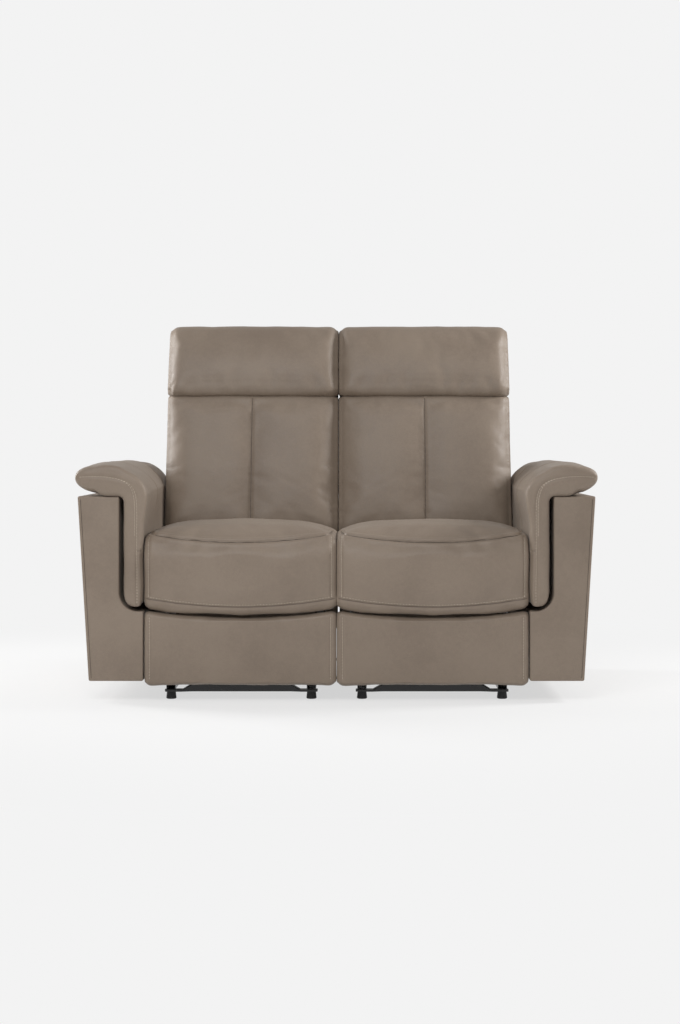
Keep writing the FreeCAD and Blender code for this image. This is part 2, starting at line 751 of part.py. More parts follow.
def build_base():
    base_rails()
    bars = []
    caps = []
    for _, seat in SIDES:
        for along in (-dim.foot_front, dim.foot_rear):
            bars.append(crossbar(half_pitch * seat, along))
            for edge in (-1, 1):
                caps.append(foot_cap(half_pitch * seat + foot_spread / 2 * edge, along))
    nodes["base_crossbars"] = group("base_crossbars", bars)
    nodes["foot_caps"] = group("foot_caps", caps)
    brackets = [side_bracket(half_pitch * seat) for _, seat in SIDES]
    nodes["base_side_brackets"] = group("base_side_brackets", brackets)
    pins = [base_pins(half_pitch * seat) for _, seat in SIDES]
    nodes["base_pivot_pins"] = group("base_pivot_pins", pins)
    reach = half_pitch - rail_low
    half = dim.tie_wide / 2
    ties = [block((-reach, reach), (along - half, along + half), (rail_top, flange_top))
            for along in (dim.foot_rear - dim.tie_inset, dim.tie_inset - dim.foot_front)]
    nodes["centre_tie_plates"] = group("centre_tie_plates", ties)
    angles = [arm_bracket(side, along) for _, side in SIDES for along in BRACKET_PLACES]
    nodes["arm_brackets"] = group("arm_brackets", angles)
    bolts = [arm_bolt(side, along) for _, side in SIDES for along in bolt_places()]
    nodes["arm_bolts"] = group("arm_bolts", bolts)


# Linkage of one seat: swing links, seat plates and the footrest's double scissor

END_ROUND = 0.96


def link(label, layer_low, length, holes, far_half=None):
    """A pair of flat links from a pivot; local -Y runs along the link."""
    body = new_body(label)
    near = dim.link_half
    far = far_half or near
    outline = (
        (near, -near, near * END_ROUND),
        (near, near, near * END_ROUND),
        (-length - far, far, far * END_ROUND),
        (-length - far, -far, far * END_ROUND),
    )
    bar = pad(body, "YZ_Plane", layer_low, dim.plate_thick, [outline], holes)
    return body, [bar]


def finish_link(body, features, seat, pivot, angle):
    mirror_sides(body, features)
    place(body, half_pitch * seat, -pivot[0], pivot[1], -angle)
    nodes[body.Label] = body


def head_inside(number):
    """A pin head in the gap on the sitter's side of a layer."""
    face = layer(number) - dim.side_play
    return face - dim.head_thick, face


def build_linkage(name, seat):
    drive = (drive_forward, dim.drive_height)
    cross = (cross_forward, dim.cross_height)
    reach_pin = (foot_back - dim.reach_behind, dim.foot_top - dim.reach_drop)
    lift_pin = (foot_back - dim.lift_behind, dim.foot_top - dim.lift_drop)
    drive_angle, elbow, reach_angle = two_bar(drive, reach_pin, dim.drive_length, dim.reach_length)
    cross_angle, knee, lift_angle = two_bar(cross, lift_pin, dim.cross_length, dim.lift_length)
    along = dim.scissor_on_reach
    off = dim.scissor_off_reach
    scissor = (
        elbow[0] + along * cosine(reach_angle) + off * sine(reach_angle) - cross[0],
        elbow[1] + along * sine(reach_angle) - off * cosine(reach_angle) - cross[1],
    )
    on_cross = scissor[0] * cosine(cross_angle) + scissor[1] * sine(cross_angle)
    off_cross = scissor[1] * cosine(cross_angle) - scissor[0] * sine(cross_angle)
    pin, thin = dim.pin_radius, dim.collar_radius
    play = dim.side_play
    thick = dim.plate_thick

    body, parts = link(f"drive_links_{name}", layer(1), dim.drive_length, [])
    shaft_end = plate_outer + play
    pad(body, "YZ_Plane", -shaft_end, shaft_end * 2, circles=[(0, 0, dim.shaft_radius)])
    parts += stack(body, 0, 0, [(shaft_end, shaft_end + dim.head_thick, dim.shaft_head)])
    parts += stack(body, -dim.drive_length, 0, [
        (layer(1) + thick, layer(1) + thick + dim.head_thick, dim.head_radius),
        (layer(3) - play, layer(1), pin),
        (layer(3) + thick + play, layer(1), thin),
        (head_inside(3)[0], head_inside(3)[1], dim.head_radius),
    ])
    finish_link(body, parts, seat, drive, drive_angle)

    body, parts = link(f"cross_links_{name}", layer(2), dim.cross_length, [(0, 0, hole_radius)])
    parts += stack(body, -dim.cross_length, 0, [
        (layer(2) + thick, layer(2) + thick + dim.head_thick, dim.head_radius),
        (layer(4) - play, layer(2), pin),
        (layer(4) + thick + play, layer(2), thin),
        (head_inside(4)[0], head_inside(4)[1], dim.head_radius),
    ])
    parts += stack(body, -on_cross, off_cross, [
        (layer(2) + thick, layer(2) + thick + dim.head_thick, dim.head_radius),
        (layer(3) - play, layer(2), pin),
        (head_inside(3)[0], head_inside(3)[1], dim.scissor_head),
    ])
    finish_link(body, parts, seat, cross, cross_angle)

    body, parts = link(f"reach_links_{name}", layer(3), dim.reach_length, [
        (0, 0, hole_radius),
        (-along, -off, pin + dim.scissor_play),
        (-dim.reach_length, 0, hole_radius),
    ])
    finish_link(body, parts, seat, elbow, reach_angle)

    body, parts = link(f"lift_links_{name}", layer(4), dim.lift_length, [
        (0, 0, hole_radius),
        (-dim.lift_length, 0, pin + dim.lift_play),
    ], dim.lift_eye)
    finish_link(body, parts, seat, knee, lift_angle)

    for place_name, base in (("front", dim.swing_front), ("rear", -dim.swing_rear)):
        foot = (base, dim.swing_base_height)
        angle = dim.swing_lean + 90
        holes = [(0, 0, hole_radius), (-dim.swing_length, 0, hole_radius)]
        body, parts = link(f"{place_name}_swing_links_{name}", swing_layer, dim.swing_length, holes)
        finish_link(body, parts, seat, foot, angle)

    footrest_brackets(name, seat, reach_pin, lift_pin)


def footrest_brackets(name, seat, reach_pin, lift_pin):
    body = new_body(f"footrest_brackets_{name}")
    back = foot_back
    low = layer(5)
    behind = -back + dim.sheet_thick
    ear = dim.link_half
    web = (
        (-back, reach_pin[1] + ear),
        (-reach_pin[0] + ear, reach_pin[1] + ear, ear),
        (-lift_pin[0] + ear, lift_pin[1] - ear, ear),
        (-back, lift_pin[1] - ear * 3),
    )
    plate = pad(body, "YZ_Plane", low, dim.plate_thick, [web])
    strip = (
        (-back, reach_pin[1] + ear),
        (behind, reach_pin[1] + ear),
        (behind, lift_pin[1] - ear * 3),
        (-back, lift_pin[1] - ear * 3),
    )
    flange = pad(body, "YZ_Plane", low - ear * 2, ear * 2, [strip])
    thick, play = dim.plate_thick, dim.side_play
    reach_outer = layer(3) + thick + play
    lift_outer = layer(4) + thick + play
    parts = [plate, flange]
    parts += stack(body, -reach_pin[0], reach_pin[1], [
        (low + thick, layer(3) - play, dim.collar_radius),
        (low + thick, reach_outer, dim.pin_radius),
        (reach_outer, reach_outer + dim.head_thick, dim.head_radius),
    ])
    parts += stack(body, -lift_pin[0], lift_pin[1], [
        (low + thick, layer(4) - play, dim.collar_radius),
        (low + thick, lift_outer, dim.pin_radius),
        (lift_outer, lift_outer + dim.head_thick, dim.lift_head),
    ])
    mirror_sides(body, parts)
    place(body, half_pitch * seat)
    nodes[body.Label] = body


def seat_plates(name, seat):
    body = new_body(f"seat_side_plates_{name}")
    edge = dim.link_half * 2 - 2
    top = dim.seat_frame_top - 9
    low = swing_top - edge
    drive, cross, pivot = drive_forward, cross_forward, recline_rear
    web = (
        (pivot + edge, dim.recline_height + edge, edge),
        (pivot - edge, dim.recline_height + edge, edge - 3),
        (pivot - edge * 2, top, edge / 2),
        (-cross - edge * 2, top, edge / 2),
        (-cross - edge * 2, dim.cross_height - 6, edge / 2),
        (-cross, dim.cross_height - edge, edge / 2),
        (-drive, dim.drive_height - edge, edge),
        (swing_back - dim.swing_front - edge, low, edge),
        (dim.swing_rear + swing_back + edge, low, edge),
        (pivot - edge * 3, dim.recline_height - edge * 3, edge),
        (pivot + edge, dim.recline_height - edge, edge),
    )
    holes = [
        (pivot, dim.recline_height, hole_radius),
        (-drive, dim.drive_height, dim.shaft_radius + dim.pin_fit),
        (-cross, dim.cross_height, hole_radius),
        (swing_back - dim.swing_front, swing_top, hole_radius),
        (swing_back + dim.swing_rear, swing_top, hole_radius),
    ]
    holes += [(along, seat_bolt_height, bolt_hole) for along in SEAT_BOLTS]
    plate = pad(body, "YZ_Plane", plate_offset, dim.plate_thick, [web], holes)
    mirror_sides(body, [plate])
    place(body, half_pitch * seat)
    nodes[body.Label] = body


def seat_pins(name, seat):
    body = new_body(f"seat_pivot_pins_{name}")
    inner = head_inside(2)
    features = stack(body, -cross_forward, dim.cross_height, [
        (inner[0], inner[1], dim.head_radius),
        (inner[1], plate_outer, dim.pin_radius),
        (layer(2) + dim.plate_thick + dim.side_play, plate_offset, dim.collar_radius),
    ])
    discs = swing_pin(plate_offset, swing_layer + dim.plate_thick)
    for along in (swing_back - dim.swing_front, swing_back + dim.swing_rear):
        features += stack(body, along, swing_top, discs)
    mirror_sides(body, features)
    place(body, half_pitch * seat)
    nodes[body.Label] = body


# Seat frame, springs and bolts

seat_bolt_height = dim.seat_frame_top - dim.bolt_drop
SEAT_BOLTS = (-dim.seat_bolt_front, -dim.seat_bolt_middle, dim.seat_bolt_rear)


def seat_frame(name, seat):
    top = dim.seat_frame_top
    low = top - dim.seat_frame_tall
    thick = dim.seat_timber
    middle = half_pitch * seat
    front = -foot_back
    rear = seat_frame_rear
    pieces = []
    for edge in (-1, 1):
        near, far = plate_outer * edge, (plate_outer + thick) * edge
        limits = (near, far) if edge > 0 else (far, near)
        timber = block((middle + limits[0], middle + limits[1]), (front, rear), (low, top))
        holes = []
        for along in SEAT_BOLTS:
            ends = (near, near + dim.bolt_bite) if edge > 0 else (near - dim.bolt_bite, near)
            holes.append(rod(middle + ends[0], middle + ends[1], along, seat_bolt_height, bolt_hole))
        drilled = document.addObject("Part::Cut", "drilled_timber")
        drilled.Base = timber
        drilled.Tool = fused(holes)
        pieces.append(drilled)
    inside = (middle - plate_outer, middle + plate_outer)
    between = (middle - plate_offset, middle + plate_offset)
    full = (middle - plate_outer - thick, middle + plate_outer + thick)
    pieces.append(block(inside, (front, front + thick), (low + thick / 4, top)))
    pieces.append(block(between, (rear - thick, rear), (low, top)))
    pieces.append(block(full, (front - dim.front_board, front), (low, top)))
    pieces.append(corner_blocks(middle, front + thick, rear - thick))
    nodes[f"seat_frame_{name}"] = group(f"seat_frame_{name}", pieces)


def corner_blocks(middle, front, rear):
    body = new_body("corner_blocks")
    leg = dim.corner_leg
    corners = []
    for edge in (-1, 1):
        side = plate_offset * edge
        for end, inward in ((front, 1), (rear, -1)):
            corners.append(((side, end), (side, end + leg * inward), (side - leg * edge, end)))
    tall = dim.seat_timber
    pad(body, "XY_Plane", dim.seat_frame_top - tall * 1.3, tall, corners)
    place(body, middle)
    return body


def seat_bolts(name, seat):
    pieces = []
    for edge in (-1, 1):
        for along in SEAT_BOLTS:
            near = (plate_offset - dim.head_thick) * edge
            head_low = near if edge > 0 else near - dim.head_thick
            face = plate_offset * edge
            tip = (plate_outer + dim.bolt_bite - bolt_end_gap) * edge
            ends = (face, tip) if edge > 0 else (tip, face)
            middle = half_pitch * seat
            head = hexagon(middle + head_low, along, seat_bolt_height, dim.head_thick)
            shank = rod(middle + ends[0], middle + ends[1], along, seat_bolt_height, dim.bolt_radius)
            pieces.append(fused([head, shank]))
    nodes[f"seat_frame_bolts_{name}"] = group(f"seat_frame_bolts_{name}", pieces)


def zigzag_path(across, front, rear, up):
    """Straight runs joined by half turns, with a straight lead at each end."""
    turns = int(dim.spring_turns.value)
    lead = dim.seat_timber.value
    pitch = (rear - front - lead * 2) / (turns + 1)
    bend = pitch / 2
    straight = dim.spring_half.value - bend
    shoulder = bend * math.sqrt(0.5)

    def spot(x, y):
        return FreeCAD.Vector(across + x, y, up)

    line = rear - lead
    edges = [
        Part.LineSegment(spot(0, rear), spot(0, line)),
        Part.Arc(spot(0, line), spot(bend - shoulder, line - shoulder), spot(bend, line - bend)),
        Part.LineSegment(spot(bend, line - bend), spot(straight, line - bend)),
    ]
    line -= bend
    side = 1
    for turn in range(turns):
        crest = spot((straight + bend) * side, line - bend)
        after = spot(straight * side, line - pitch)
        edges.append(Part.Arc(spot(straight * side, line), crest, after))
        line -= pitch
        side = -side
        reach = straight if turn < turns - 1 else -bend
        edges.append(Part.LineSegment(after, spot(reach * side, line)))
    elbow = spot((shoulder - bend) * side, line - bend + shoulder)
    edges.append(Part.Arc(spot(-bend * side, line), elbow, spot(0, line - bend)))
    edges.append(Part.LineSegment(spot(0, line - bend), spot(0, line - bend - lead)))
    return Part.Wire([edge.toShape() for edge in edges])


def feature(label, shape):
    thing = document.addObject("Part::Feature", label)
    thing.Label = label
    thing.Shape = shape
    nodes[label] = thing
    return thing


def seat_springs(name, seat):
    wire = dim.spring_wire.value
    count = int(dim.spring_count.value)
    front = -foot_back.value + dim.seat_timber.value / 3
    rear = seat_frame_rear.value - dim.seat_timber.value / 3
    spread = plate_outer.value * 2 / (count + 1)
    wires = []
    for number in range(count):
        across = spread * (number + 1) - plate_outer.value
        path = zigzag_path(across, front, rear, dim.seat_frame_top.value)
        band = path.makeOffset2D(wire, 0, True, True, False)
        wires.append(band.extrude(FreeCAD.Vector(0, 0, wire)))
    thing = feature(f"seat_springs_{name}", Part.makeCompound(wires))
    place(thing, half_pitch * seat)


# Back of one seat: shell, plywood frame, webbing and pivot brackets

def back_shell(name, seat):
    body = new_body(f"back_shell_{name}")
    wall = dim.shell_wall
    top, low, kink = shell_top, dim.skirt_bottom, dim.back_kink
    outer = rear_at(kink)
    rear_wall = (
        (outer - wall, low),
        (outer, low),
        (outer, kink),
        (rear_at(top), top),
        (cushion_plane(top), top),
        (cushion_plane(top - wall), top - wall),
        (rear_at(top - wall) - wall, top - wall),
        (outer - wall, kink),
    )
    inner_half = seat_half - dim.shell_side
    pad(body, "YZ_Plane", -inner_half, inner_half * 2, [rear_wall])
    depth = wall * 4
    wing = (
        (outer - depth, low, wall),
        (outer, low),
        (outer, kink),
        (rear_at(top), top),
        (cushion_plane(top), top),
        (cushion_plane(dim.recline_height), dim.recline_height, wall * 2),
        (outer - depth, dim.recline_height - wall * 5, wall * 2),
    )
    side = pad(body, "YZ_Plane", inner_half, dim.shell_side, [wing])
    mirror_sides(body, [side])
    place(body, half_pitch * seat)
    nodes[body.Label] = body


def leaning_board(low, high, front, thick):
    """Outline of a board parallel to the cushions, front behind their plane."""
    return (
        (cushion_plane(low) + front, low),
        (cushion_plane(low) + front + thick, low),
        (cushion_plane(high) + front + thick, high),
        (cushion_plane(high) + front, high),
    )


def back_frame(name, seat):
    post_outer = seat_half - dim.shell_side
    wall = dim.shell_wall
    top = shell_top - wall
    kink, low = dim.back_kink, dim.post_bottom
    front = dim.strap_thick + dim.touch_gap
    posts = new_body("back_posts")
    outline = (
        (cushion_plane(low) + front, low, wall),
        (rear_at(kink) - wall, low, wall),
        (rear_at(kink) - wall, kink),
        (rear_at(top) - wall, top),
        (cushion_plane(top) + front, top),
    )
    post = pad(posts, "YZ_Plane", post_outer - dim.post_thick, dim.post_thick, [outline])
    mirror_sides(posts, [post])
    place(posts, half_pitch * seat)
    rails = new_body("back_rails")
    half = post_outer - dim.post_thick
    tall = dim.rail_timber_tall
    for bottom in (kink, head_seam - tall, top - tall * 1.2):
        board = leaning_board(bottom, bottom + tall, front, dim.seat_timber)
        pad(rails, "YZ_Plane", -half, half * 2, [board])
    place(rails, half_pitch * seat)
    nodes[f"back_frame_{name}"] = group(f"back_frame_{name}", [posts, rails])


def back_webbing(name, seat):
    body = new_body(f"back_webbing_{name}")
    half = seat_half - dim.shell_side - dim.post_thick / 2
    count = int(dim.strap_count.value)
    low = dim.back_kink + dim.rail_timber_tall + dim.strap_gap
    high = head_seam - dim.rail_timber_tall
    pitch = (high - low + dim.strap_gap) / dim.strap_count
    for number in range(count):
        bottom = low + pitch * number
        strap = leaning_board(bottom, bottom + pitch - dim.strap_gap, dim.touch_gap, dim.strap_thick)
        pad(body, "YZ_Plane", -half, half * 2, [strap])
    place(body, half_pitch * seat)
    nodes[body.Label] = body


def back_brackets(name, seat):
    body = new_body(f"back_brackets_{name}")
    outer = seat_half - dim.shell_side - dim.post_thick
    inner = outer - dim.plate_thick
    pivot, height = recline_rear, dim.recline_height
    half = dim.link_half * 2
    low = height - half
    high = height + half * 4
    soft = half / 2
    lean = back_slope * half * 4
    web = (
        (pivot - half, low, soft),
        (pivot + half, low, soft),
        (pivot + half + lean, high, soft),
        (pivot - half + lean, high, soft),
    )
    plate = pad(body, "YZ_Plane", inner, dim.plate_thick, [web])
    head = (plate_offset - dim.side_play - dim.head_thick, plate_offset - dim.side_play)
    parts = [plate] + stack(body, pivot, height, [
        (plate_outer + dim.side_play, inner, dim.head_radius),
        (head[1], inner, dim.pin_radius),
        (head[0], head[1], dim.head_radius),
    ])
    mirror_sides(body, parts)
    place(body, half_pitch * seat)
    nodes[body.Label] = body


# Soft pieces: lofts through closed sections of straight runs and arcs

def section_wire(corners, to_space):
    """Closed wire through corners (p, q, radius), rounded, mapped to space."""
    count = len(corners)
    points = [FreeCAD.Vector(c[0], c[1], 0) for c in corners]
    rounds = [corner_arc(points[i - 1], points[i], points[(i + 1) % count], corners[i][2])
              for i in range(count)]
    edges = []
    for i in range(count):
        start, end, middle, _ = rounds[i]
        crest = middle + (points[i] - middle).normalize() * corners[i][2]
        edges.append(Part.Arc(*[to_space(p.x, p.y) for p in (start, crest, end)]).toShape())
        edges.append(Part.makeLine(to_space(end.x, end.y), to_space(*rounds[(i + 1) % count][0][:2])))
    return Part.Wire(edges)


SHARP = 0.6

# Radii of the soft sections, corner by corner
SEAT_ROUNDS = (10, 40, 500, 45, 30, 20, 8, SHARP)
LUMBAR_ROUNDS = (8, 6, 20, 400, 60, 20)
HEAD_ROUNDS = (6, SHARP, 6, 30, 60, 200, 26)
FOOT_END_ROUND = 9
CHANNEL_SHARE = 0.01
END_SHARE = 0.98
ARM_ROUNDS = (6, 10, 60, 60, 80, 10)
ARM_REST_ROUNDS = (10, 40, 40)


def with_rounds(corners, radii):
    return tuple((p, q, radius) for (p, q), radius in zip(corners, radii))


def drawn_in(corners, inset):
    """The same outline moved inwards on every side."""
    count = len(corners)
    turning = sum(corners[i - 1][0] * corners[i][1] - corners[i][0] * corners[i - 1][1]
                  for i in range(count))
    hand = 1 if turning > 0 else -1
    moved = []
    for i in range(count):
        before = FreeCAD.Vector(*corners[i - 1][:2])
        here = FreeCAD.Vector(*corners[i][:2])
        after = FreeCAD.Vector(*corners[(i + 1) % count][:2])
        first = (here - before).normalize()
        second = (after - here).normalize()
        bend = first.cross(second).z * hand
        inward = (FreeCAD.Vector(-first.y, first.x) + FreeCAD.Vector(-second.y, second.x)) * hand
        shift = inward * (inset / (1 + first.dot(second)))
        radius = corners[i][2] - inset if bend > 0 else corners[i][2] + inset
        moved.append((here.x + shift.x, here.y + shift.y, max(radius, SHARP)))
    return moved


def across_loft(label, seat, stations, profile):
    """Loft of side profiles; a station is (place across from -1 to 1, inset)."""
    half = seat_half.value
    wires = []
    for share, inset in stations:
        corners = drawn_in(profile(share), inset)
        across = share * half
        wires.append(section_wire(corners, lambda y, z, x=across: FreeCAD.Vector(x, y, z)))
    thing = feature(label, Part.makeLoft(wires, True, True))
    place(thing, half_pitch * seat)


def plain_stations():
    inset = dim.seam_inset.value
    return ((-1, inset), (-0.975, inset / 6), (-0.6, 0), (0, 0), (0.6, 0), (0.975, inset / 6), (1, inset))


def channel_stations():
    inset = dim.seam_inset.value
    outer = ((0.07, 0), (0.5, 0), (0.975, inset / 6), (1, inset))
    return tuple((-s, e) for s, e in reversed(outer)) + ((0, 0),) + outer


def seat_profile(share):
    fall = share * share
    top = dim.seat_crown.value - dim.seat_side_drop.value * fall
    front = seat_front.value + dim.seat_bulge.value * fall
    lip = dim.lip_middle.value + (dim.lip_side.value - dim.lip_middle.value) * fall
    bottom = dim.seat_frame_top.value + dim.spring_wire.value + dim.touch_gap.value
    rear = back_front(dim.seat_crown).value - dim.seat_clear.value
    back = seat_front.value + dim.lip_thick.value
    corners = (
        (rear, bottom),
        (rear, top - dim.seat_rear_fall.value),
        ((front + rear) / 2, top),
        (front + dim.seat_brow_back.value, top - dim.seat_brow_fall.value),
        (front, top - dim.seat_face_fall.value),
        (front + dim.seat_lip_back.value, lip),
        (back, lip),
        (back, bottom),
    )
    return with_rounds(corners, SEAT_ROUNDS)


def lumbar_profile(share):
    channel = dim.channel_depth.value if abs(share) < CHANNEL_SHARE else 0
    fuller = dim.back_crown.value * (1 - share * share) - channel
    low, high = dim.lumbar_bottom.value, head_seam.value - dim.seam_half.value
    knee = low + dim.lumbar_knee.value
    waist = (low + high) / 2
    plane = [cushion_plane(z).value - dim.touch_gap.value for z in (low, high)]
    front = [back_front(z).value - fuller for z in (low, knee, waist, high)]
    corners = (
        (plane[0], low),
        (plane[1], high),
        (front[3] + dim.lumbar_brow_back.value, high),
        (front[2], waist),
        (front[1] + dim.lumbar_knee_back.value, knee),
        (front[0] + dim.lumbar_foot_back.value, low),
    )
    return with_rounds(corners, LUMBAR_ROUNDS)


def head_profile(share):
    fuller = dim.back_crown.value * (1 - share * share)
    low = head_seam.value + dim.seam_half.value
    shelf, top = shell_top.value + dim.touch_gap.value, dim.sofa_height.value
    brow = (low + top) / 2
    front = [back_front(z).value - fuller for z in (low, brow, top)]
    rear = rear_at(shell_top).value
    plane = [cushion_plane(z).value - dim.touch_gap.value for z in (low, shelf)]
    corners = (
        (plane[0], low),
        (plane[1], shelf),
        (rear, shelf),
        (rear - dim.head_rear_lean.value, top),
        (front[2] + dim.head_brow_back.value, top),
        (front[1] - dim.head_face_out.value, brow),
        (front[0] - dim.head_roll.value, low),
    )
    return with_rounds(corners, HEAD_ROUNDS)


def footrest_profile():
    half = seat_half.value - dim.foot_pad_side.value
    line = dim.foot_top.value
    low = line - dim.foot_pad_drop.value
    middle = dim.lip_middle.value - dim.lip_gap.value
    side = dim.lip_side.value - dim.lip_gap.value * 3
    share = dim.foot_dip_share.value
    dip = (middle - side * share / 2) / (1 - share / 2)
    slant = math.atan2(side - dip, half)
    return (
        (-half, low, dim.foot_corner.value),
        (half, low, dim.foot_corner.value),
        (half, side, FOOT_END_ROUND),
        (0, dip, share * half / math.tan(slant) * END_SHARE),
        (-half, side, FOOT_END_ROUND),
    )


def footrest(name, seat):
    board = new_body(f"footrest_board_{name}")
    half = seat_half - dim.pad_slot - dim.running_gap
    line = dim.foot_top
    low = line - dim.foot_pad_drop + dim.foot_board_lift
    high = line - dim.pad_slot
    outline = ((-half, low, 16), (half, low, 16), (half, high, 6), (-half, high, 6))
    pad(board, "XZ_Plane", foot_back, dim.board_thick, [outline])
    place(board, half_pitch * seat)
    nodes[board.Label] = board
    start = -(foot_back.value + dim.board_thick.value + dim.touch_gap.value)
    deep = dim.foot_pad_thick.value
    wires = []
    for share, inset in ((0, 2), (0.25, 0), (0.75, 2.5), (1, 8)):
        corners = drawn_in(footrest_profile(), inset)
        along = start - deep * share
        wires.append(section_wire(corners, lambda x, z, y=along: FreeCAD.Vector(x, y, z)))
    thing = feature(f"footrest_pad_{name}", Part.makeLoft(wires, True, True))
    place(thing, half_pitch * seat)


def arm_pad(label, side):
    tip = dim.sofa_width.value / 2
    inner = arm_inner.value
    back = pad_back.value
    crest = dim.pad_crest.value
    rest = dim.panel_top.value + dim.touch_gap.value
    slot = dim.pad_slot.value
    low = dim.ledge_height.value + slot
    slot_round = dim.ledge_radius.value - slot
    side_corners = (
        (tip, rest + dim.pad_tip_low.value),
        (tip, rest + dim.pad_tip_high.value),
        (tip - dim.pad_crest_in.value, crest),
        (inner + dim.pad_crest_side.value, crest),
        (inner, crest - dim.pad_crest_fall.value),
        (inner, low),
    )
    rest_corners = (
        (back, rest),
        (back + dim.pad_rest_wide.value, rest),
        (back + dim.pad_lip_out.value, rest + dim.pad_lip_rise.value),
    )
    corners = (with_rounds(side_corners, ARM_ROUNDS) + ((back, low, slot_round),)
               + with_rounds(rest_corners, ARM_REST_ROUNDS))
    edge = dim.pad_front_round.value
    front = panel_front.value - dim.pad_overhang.value
    rear = panel_rear.value
    stations = (
        (rear, edge),
        (rear - edge * 1.5, 0),
        (front + edge * 2, 0),
        (front + edge / 2, edge / 3),
        (front, edge),
    )
    wires = []
    for along, inset in stations:
        drawn = drawn_in(corners, inset)
        wires.append(section_wire(drawn, lambda x, z, y=along: FreeCAD.Vector(x * side, y, z)))
    feature(f"arm_pad_{label}", Part.makeLoft(wires, True, True))


for name, hand in SIDES:
    arm_panel(name, hand)
    arm_rails(name, hand)
    arm_pad(name, hand)
build_base()
for name, hand in SIDES:
    build_linkage(name, hand)
    seat_plates(name, hand)
    seat_pins(name, hand)
    seat_frame(name, hand)
    seat_bolts(name, hand)
    seat_springs(name, hand)
    back_shell(name, hand)
    back_frame(name, hand)
    back_webbing(name, hand)
    back_brackets(name, hand)
    footrest(name, hand)
    across_loft(f"seat_cushion_{name}", hand, plain_stations(), seat_profile)
    across_loft(f"lumbar_cushion_{name}", hand, channel_stations(), lumbar_profile)
    across_loft(f"head_pillow_{name}", hand, plain_stations(), head_profile)

document.recompute()

# Check every object, then write one file for each named piece

for thing in document.Objects:
    if "Invalid" in thing.State or "Error" in thing.State:
        raise RuntimeError(f"{thing.Label} failed: {thing.State}")
os.makedirs("parts", exist_ok=True)
for label, thing in nodes.items():
    shape = thing.Shape
    if shape.isNull() or not shape.isValid() or not shape.Solids:
        raise RuntimeError(f"{label} has no valid solid")
    shape.exportStep(f"parts/{label}.step")
    print(f"{label}: {len(shape.Solids)} solids, {shape.Volume / 1000:.0f} cm3")
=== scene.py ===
import bmesh
import bpy
import json
import math
import numpy as np
from mathutils import Matrix, Vector
from mathutils.bvhtree import BVHTree


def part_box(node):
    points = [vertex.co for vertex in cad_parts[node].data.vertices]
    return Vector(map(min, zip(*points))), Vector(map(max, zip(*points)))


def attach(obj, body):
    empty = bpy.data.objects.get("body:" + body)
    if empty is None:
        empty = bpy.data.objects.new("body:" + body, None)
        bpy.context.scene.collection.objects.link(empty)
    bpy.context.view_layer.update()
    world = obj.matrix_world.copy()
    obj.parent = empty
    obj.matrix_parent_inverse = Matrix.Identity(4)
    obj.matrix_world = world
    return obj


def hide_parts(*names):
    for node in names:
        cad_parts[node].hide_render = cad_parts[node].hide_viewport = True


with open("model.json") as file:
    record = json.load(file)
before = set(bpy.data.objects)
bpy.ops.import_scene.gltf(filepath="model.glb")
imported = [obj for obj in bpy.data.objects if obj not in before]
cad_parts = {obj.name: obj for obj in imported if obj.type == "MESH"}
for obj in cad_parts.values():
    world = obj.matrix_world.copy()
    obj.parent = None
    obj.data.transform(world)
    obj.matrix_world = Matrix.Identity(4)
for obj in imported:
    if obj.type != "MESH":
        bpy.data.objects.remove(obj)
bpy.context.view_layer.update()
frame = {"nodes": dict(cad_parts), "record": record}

# Reclining sofa for two in taupe leather: padding, seams and finishes round the frame.
# Metres; X to the sitter's left, Y to the rear, Z up.

SIDES = (("left", -1), ("right", 1))
STITCH = (0.0058, 0.0022, 0.0005)
# Spacing of the dark seam strips, which are painted shade of the seam grooves
SHADE_LINE_STEP = 0.004
SHADE_LINE_REACH = 0.006
THREAD_ASIDE = 0.005

# Rays that find the surface from outside
FORWARD, REARWARD, DOWN = (0, -1, 0), (0, 1, 0), (0, 0, -1)
RAY_START = 0.1
NODES = frame["nodes"]


# Places read from the frame

def low(node):
    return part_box(node)[0]


def high(node):
    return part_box(node)[1]


def middle(node):
    return (low(node) + high(node)) / 2


SEAT_HALF = (high("seat_cushion_right").x - low("seat_cushion_right").x) / 2
ARM_INNER = low("arm_pad_right").x

# How far covers fill the gap between the seats, and what stays free toward the arm
SIDE_FULL = 0.0022
FOOT_FULL = 0.0036
ARM_CLEAR = 0.0016
SIDE_NORMALS = (0.75, 0.97)
SIDE_SHORTFALL = (0.006, 0.012)


# Shader maths: sockets with Python's operators

class Level:
    """A number that varies over a surface."""

    def __init__(self, finish, socket):
        self.finish = finish
        self.socket = socket

    def __add__(self, other):
        return self.finish.maths("ADD", self, other)

    __radd__ = __add__

    def __mul__(self, other):
        return self.finish.maths("MULTIPLY", self, other)

    __rmul__ = __mul__

    def __sub__(self, other):
        return self.finish.maths("SUBTRACT", self, other)

    def __rsub__(self, other):
        return self.finish.maths("SUBTRACT", other, self)


